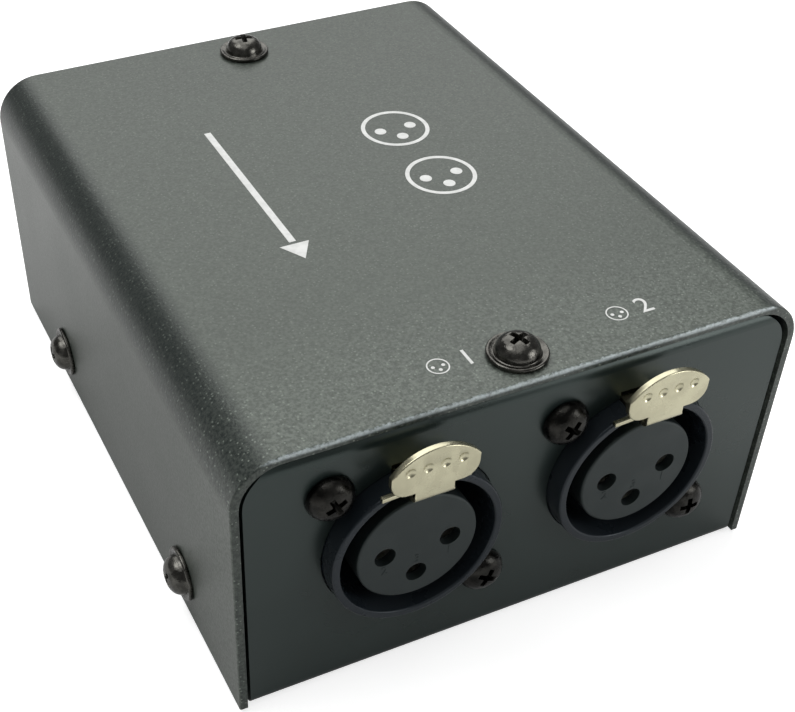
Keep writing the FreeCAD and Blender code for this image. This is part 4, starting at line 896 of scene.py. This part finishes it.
@dataclass
class Fasteners:
    """The case's washer-head screws and the sockets' pan-head screws, all turned differently."""

    finishes: Finishes
    top_places: Pair = (-39.3, 38.0)
    side_places: Pair = (-26.1, 21.5)
    side_rise: float = 6.5
    pattern: float = 9.9
    panel_recess: float = 0.3

    def spread(self, screw: Obj, name: str, finish: Finish, node: str,
               places: Sequence[Matrix]) -> None:
        """Copies a screw to its places and mounts the copies as one piece.

        Args:
            screw: The screw, upright at the origin.
            name: The piece's name.
            finish: Its finish.
            node: The node that it replaces.
            places: Where the copies go.
        """
        copies = [copied(screw, f"{name}_{index}", place) for index, place in enumerate(places)]
        mount_piece(joined(name, copies), self.finishes.get(finish),
                    stands_for=[node])

    def build(self) -> None:
        """Makes one screw of each kind and copies it to its places."""
        case = CrossScrew("case_screw", 2.6, 0.6, 1.7, 4.6, washer_radius=3.5).model()
        self.spread(case, "top_screw_heads", Finishes.screw, "top_screws", [
            placed(mm(0, y, CASE_TOP), (0.35 + index, "Z"))
            for index, y in enumerate(self.top_places)])
        self.spread(case, "side_screw_heads", Finishes.screw, "side_screws", [
            placed(mm(CASE_HALF_WIDTH * way, y, self.side_rise), (math.pi / 2 * way, "Y"),
                   (0.6 + index * 0.8 + way, "Z"))
            for way in (-1, 1) for index, y in enumerate(self.side_places)])
        bpy.data.objects.remove(case)
        pan = CrossScrew("pan_screw", 2.85, 0.0, 2.0, 7.5).model()
        for number, side in SOCKET_SIDES:
            places = [placed(mm(SOCKET_X * side + self.pattern * way, SOCKET_Y + self.panel_recess,
                                SOCKET_Z - self.pattern * way),
                             (math.pi / 2, "X"), (0.25 + number * 0.5 + way * 0.3, "Z"))
                      for way in (-1, 1)]
            self.spread(pan, f"socket_{number}_screw_heads", Finishes.socket_screw,
                        f"xlr_{number}_screws", places)
        bpy.data.objects.remove(pan)


@dataclass
class Latches:
    """The two stamped levers, each with dimples across its thumb tab, and their springs."""

    finishes: Finishes
    nodes: dict[str, Obj]
    tab_stand: float = 4.6
    row_height: float = 35.15
    step: float = 2.05
    count: int = 4
    bowl_radius: float = 0.62
    bowl_depth: float = 0.25
    spring_seat: float = -35.75
    spring_kept: float = 0.8

    def dimples(self, middle: float) -> Obj:
        """Balls in a row whose ends sink into the tab.

        Args:
            middle: The row's middle along X.

        Returns:
            The cutter.
        """
        radius = (self.bowl_radius ** 2 + self.bowl_depth ** 2) / (2 * self.bowl_depth)
        depth = SOCKET_Y - self.tab_stand - radius + self.bowl_depth
        balls = []
        for index in range(self.count):
            x = middle + (index - (self.count - 1) / 2) * self.step
            deselect()
            bpy.ops.mesh.primitive_uv_sphere_add(segments=40, ring_count=24, radius=radius * MM,
                                                 location=mm(x, depth, self.row_height))
            settle(bpy.context.object)
            balls.append(bpy.context.object)
        return joined("dimples", balls)

    def merged(self, node: Obj, name: str) -> Obj:
        """A copy of a node whose loose triangles are joined up.

        Args:
            node: The node.
            name: The copy's name.

        Returns:
            The copy, free of the node's body.
        """
        copy = copied(node, name, node.matrix_world)
        copy.parent = None
        copy.matrix_world = Matrix.Identity(4)
        clean_mesh(copy, 0.001)
        return copy

    def build_lever(self, number: int, side: int, body: Body) -> None:
        """Stamps one lever's tab and rounds its arrises."""
        node = self.nodes[f"xlr_{number}_latch"]
        lever = self.merged(node, f"lever_{number}")
        cut_away(lever, self.dimples(SOCKET_X * side))
        soften(lever, 0.05, 2)
        mount_piece(lever, self.finishes.get(Finishes.nickel), body, [node.name])

    def build_spring(self, number: int) -> None:
        """One coil spring, a joined-up copy of its node, smooth-shaded and fixed on the case."""
        node = self.nodes[f"xlr_{number}_latch_spring"]
        spring = self.merged(node, f"return_spring_{number}")
        soften(spring, 0.0)
        mount_piece(spring, self.finishes.get(Finishes.steel), stands_for=[node.name])
        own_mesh(spring)

    def build(self) -> None:
        """Makes both levers and both springs."""
        for (number, side), body in zip(SOCKET_SIDES, (Body.LATCH_1, Body.LATCH_2)):
            self.build_lever(number, side, body)
            self.build_spring(number)


@dataclass
class Markings:
    """Plain white print on the cover and moulded numerals on the inserts."""

    finishes: Finishes
    film: float = 0.03
    label_rise: float = 2.6
    label_y: float = -37.6
    label_x: Pair = (-5.2, 17.6)
    label_gap: float = 3.6
    drawing_x: float = 10.05
    drawing_y: Pair = (9.4, -3.5)
    drawing_radius: float = 4.6
    arrow_x: float = -13.4
    moulded: float = 1.2
    moulded_thick: float = 0.05
    moulded_sunk: float = 0.01
    insert_stand: float = 1.85
    digit_share: float = 0.7

    def numeral(self, text: str, name: str, rise: float, thick: float) -> Obj:
        """One plain numeral as a thin mesh, upright in the XY plane and centred.

        Args:
            text: The numeral.
            name: The object's name.
            rise: Its height in millimetres.
            thick: How thick it is in millimetres.

        Returns:
            The object.
        """
        deselect()
        bpy.ops.object.text_add(location=(0, 0, 0))
        obj = bpy.context.object
        obj.name = name
        obj.data.body = text
        obj.data.size = rise * MM / self.digit_share
        obj.data.resolution_u = 6
        obj.data.extrude = thick * MM / 2
        obj.data.align_x, obj.data.align_y = "CENTER", "CENTER"
        bpy.ops.object.convert(target="MESH")
        obj = bpy.context.object
        shift(obj, 0, 0, thick / 2)
        return obj

    def ring(self, name: str, radius: float, width: float, sides: int = 48) -> Obj:
        """A thin flat ring of print.

        Args:
            name: The object's name.
            radius: Outer radius in millimetres.
            width: Line width in millimetres; the radius itself makes a dot.
            sides: How many sides it has.

        Returns:
            The object.
        """
        obj = cylinder(name, sides, radius, 0.0, self.film)
        if width < radius:
            self.open_middle(obj, width)
        return obj

    def open_middle(self, obj: Obj, width: float) -> None:
        """Insets the upper and lower face of a flat piece and bridges the hole."""
        with editing(obj):
            pick_faces(obj, lambda middle, normal: abs(normal.z) > 0.9)
            bpy.ops.mesh.inset(thickness=width * MM, depth=0, use_boundary=True,
                               use_individual=True)
            bpy.ops.mesh.bridge_edge_loops()

    def arrow(self) -> Obj:
        """A long plain arrow that points from the rear panel to the sockets.

        Returns:
            The object.
        """
        shaft = block(mm(self.arrow_x, 4.4, self.film / 2), mm(0.9, 28.0, self.film))
        deselect()
        bpy.ops.mesh.primitive_cylinder_add(vertices=3, radius=2.2 * MM, depth=self.film * MM,
                                            location=mm(self.arrow_x, -11.2, self.film / 2),
                                            rotation=(0, 0, math.pi))
        head = bpy.context.object
        settle(head)
        return joined("arrow", [shaft, head])

    def socket_symbol(self, name: str, radius: float) -> list[Obj]:
        """A small drawing of a socket: a ring with three dots.

        Args:
            name: The start of the objects' names.
            radius: Outer radius in millimetres.

        Returns:
            The drawing's pieces, centred.
        """
        pieces = [self.ring(f"{name}_ring", radius, radius * 0.12)]
        for index, turn in enumerate((math.pi, 0.0, -math.pi / 2)):
            dot = self.ring(f"{name}_dot_{index}", radius * 0.17, radius, 20)
            shift(dot, math.cos(turn) * radius * 0.48, math.sin(turn) * radius * 0.48, 0)
            pieces.append(dot)
        return pieces

    def build_top(self) -> None:
        """Socket numbers, a plain drawing of the two sockets, and an arrow."""
        members: list[Obj] = []
        for number, x in zip((1, 2), self.label_x):
            numeral = self.numeral(str(number), f"label_{number}", self.label_rise, self.film)
            shift(numeral, x, self.label_y, 0)
            members.append(numeral)
            for piece in self.socket_symbol(f"label_symbol_{number}", self.label_rise / 2):
                shift(piece, x - self.label_gap, self.label_y, 0)
                members.append(piece)
        for index, y in enumerate(self.drawing_y):
            for piece in self.socket_symbol(f"drawing_{index}", self.drawing_radius):
                shift(piece, self.drawing_x, y, 0)
                members.append(piece)
        members.append(self.arrow())
        for member in members:
            shift(member, 0, 0, CASE_TOP)
        mount_piece(joined("top_print", members), self.finishes.get(Finishes.ink))

    def build_inserts(self) -> None:
        """Numerals beside the contact holes, standing a little out of each insert's face."""
        face = SOCKET_Y - self.insert_stand + self.moulded_sunk
        spots = {"1": (4.05, -2.15), "2": (-4.05, -2.15), "3": (0.0, -1.9)}
        for number, side in SOCKET_SIDES:
            members = []
            for text, (x, z) in spots.items():
                numeral = self.numeral(text, f"contact_{number}_{text}", self.moulded,
                                       self.moulded_thick)
                numeral.data.transform(placed(mm(SOCKET_X * side + x, face, SOCKET_Z + z),
                                              (math.pi / 2, "X")))
                members.append(numeral)
            mount_piece(joined(f"insert_{number}_numerals", members),
                        self.finishes.get(Finishes.insert))


# Stage


@dataclass
class Stage:
    """Floor, background, lamps and camera."""

    floor_half: float = 3.0
    camera_place: Place = (-68.76, -136.73, 131.53)
    camera_turn: Place = (47.8715, -0.5674, -25.1086)
    lens: float = 62.695
    shift: Pair = (0.08202, 0.10771)
    ambient: float = 0.22
    wall: float = 0.2
    floor_drop: float = 0.0002
    white_reach: Pair = (0.25, 0.9)
    white_glow: Pair = (0.66, 0.84)
    mirror_reach: Pair = (0.062, 0.086)
    mirror_glow: Pair = (0.0, 0.18)

    def level(self, desk: NodeDesk, seen: Socket, mirrored: Socket,
              other: float) -> bpy.types.NodeSocket:
        """A strength that depends on the kind of ray.

        Args:
            desk: The nodes to add to.
            seen: For what the camera sees.
            mirrored: For what gloss, metal and clear parts show.
            other: For the light that falls on the object.

        Returns:
            The strength.
        """
        rays = desk.add("ShaderNodeLightPath")
        through = desk.math("MAXIMUM", rays.outputs["Is Glossy Ray"],
                            rays.outputs["Is Transmission Ray"])
        lit = desk.ramp(through, 0.0, 1.0, other, mirrored)
        straight = desk.add("ShaderNodeMapRange", {"Value": rays.outputs["Is Camera Ray"],
                                                   "To Min": lit, "To Max": seen})
        return straight.outputs["Result"]

    def build_world(self) -> None:
        """Plain ambient light, and white where the background is seen."""
        world = bpy.data.worlds.new("studio")
        bpy.context.scene.world = world
        world.use_nodes = True
        desk = NodeDesk(world.node_tree)
        background = desk.add("ShaderNodeBackground", {
            "Color": rgba(WHITE), "Strength": self.level(desk, 1.0, self.wall, self.ambient)})
        desk.add("ShaderNodeOutputWorld", {"Surface": background.outputs[0]})

    def build_floor(self) -> None:
        """A pale floor that reads white and keeps the object's shadow."""
        deselect()
        bpy.ops.mesh.primitive_plane_add(size=self.floor_half * 2,
                                         location=(0, 0, -self.floor_drop))
        floor = bpy.context.object
        floor.name = "floor"
        settle(floor)
        material = bpy.data.materials.new("floor")
        material.use_nodes = True
        desk = NodeDesk(material.node_tree)
        place = desk.add("ShaderNodeTexCoord").outputs["Object"]
        away = desk.add("ShaderNodeVectorMath", {0: place}, operation="LENGTH").outputs["Value"]
        seen = desk.ramp(away, *self.white_reach, *self.white_glow)
        far = desk.ramp(away, *self.mirror_reach, *self.mirror_glow)
        paper = desk.add("ShaderNodeBsdfDiffuse", {"Color": rgba(PAPER)})
        glow = desk.add("ShaderNodeEmission", {"Color": rgba(WHITE),
                                               "Strength": self.level(desk, seen, far, 0.0)})
        both = desk.add("ShaderNodeAddShader", {0: paper.outputs[0], 1: glow.outputs[0]})
        desk.add("ShaderNodeOutputMaterial", {"Surface": both.outputs[0]})
        floor.data.materials.append(material)

    def lamp(self, name: str, place: Place, aim: Place,
             size: Pair, watts: float) -> None:
        """One soft rectangular lamp.

        Args:
            name: Its name.
            place: Where it hangs, in metres.
            aim: What it points at, in metres.
            size: Its width and height in metres.
            watts: Its power.
        """
        data = bpy.data.lights.new(name, "AREA")
        data.shape = "RECTANGLE"
        data.size, data.size_y = size
        data.energy = watts
        obj = bpy.data.objects.new(name, data)
        obj.location = place
        obj.rotation_euler = (Vector(aim) - Vector(place)).to_track_quat("-Z", "Y").to_euler()
        bpy.context.scene.collection.objects.link(obj)

    def build_lamps(self) -> None:
        """A broad soft lamp behind, one overhead, one to the left and a low one in front."""
        self.lamp("rear", (0.17, 0.56, 0.7), (0, 0, 0.02), (0.9, 0.9), 5.1)
        self.lamp("overhead", (-0.1, -0.1, 0.8), (0, 0, 0.02), (0.6, 0.6), 1.2)
        self.lamp("left_high", (-0.3, 0.12, 0.6), (-0.12, 0.05, 0), (0.3, 0.3), 1.1)
        self.lamp("right_front", (0.22, -0.24, 0.13), (0.07, -0.09, 0), (0.16, 0.16), 0.36)

    def build_camera(self) -> None:
        """The camera at the photograph's place, worked out from the case's own edges."""
        data = bpy.data.cameras.new("camera")
        data.sensor_width = 36.0
        data.lens = self.lens
        data.shift_x, data.shift_y = self.shift
        data.clip_start, data.clip_end = 0.005, 20.0
        camera = bpy.data.objects.new("camera", data)
        camera.location = Vector(self.camera_place) * MM
        camera.rotation_euler = Euler([math.radians(turn) for turn in self.camera_turn], "XYZ")
        bpy.context.scene.collection.objects.link(camera)
        bpy.context.scene.camera = camera

    def build(self) -> None:
        """Makes the whole stage."""
        bpy.context.scene.view_settings.view_transform = "Standard"
        self.build_world()
        self.build_floor()
        self.build_lamps()
        self.build_camera()


def main() -> None:
    """Dresses the model and builds the stage."""
    logging.basicConfig(level=logging.INFO, format="%(message)s")
    finishes = Finishes()
    finishes.dress_frame(frame["nodes"])
    Fasteners(finishes).build()
    Latches(finishes, frame["nodes"]).build()
    markings = Markings(finishes)
    markings.build_top()
    markings.build_inserts()
    Stage().build()


if __name__ == "__main__":
    main()
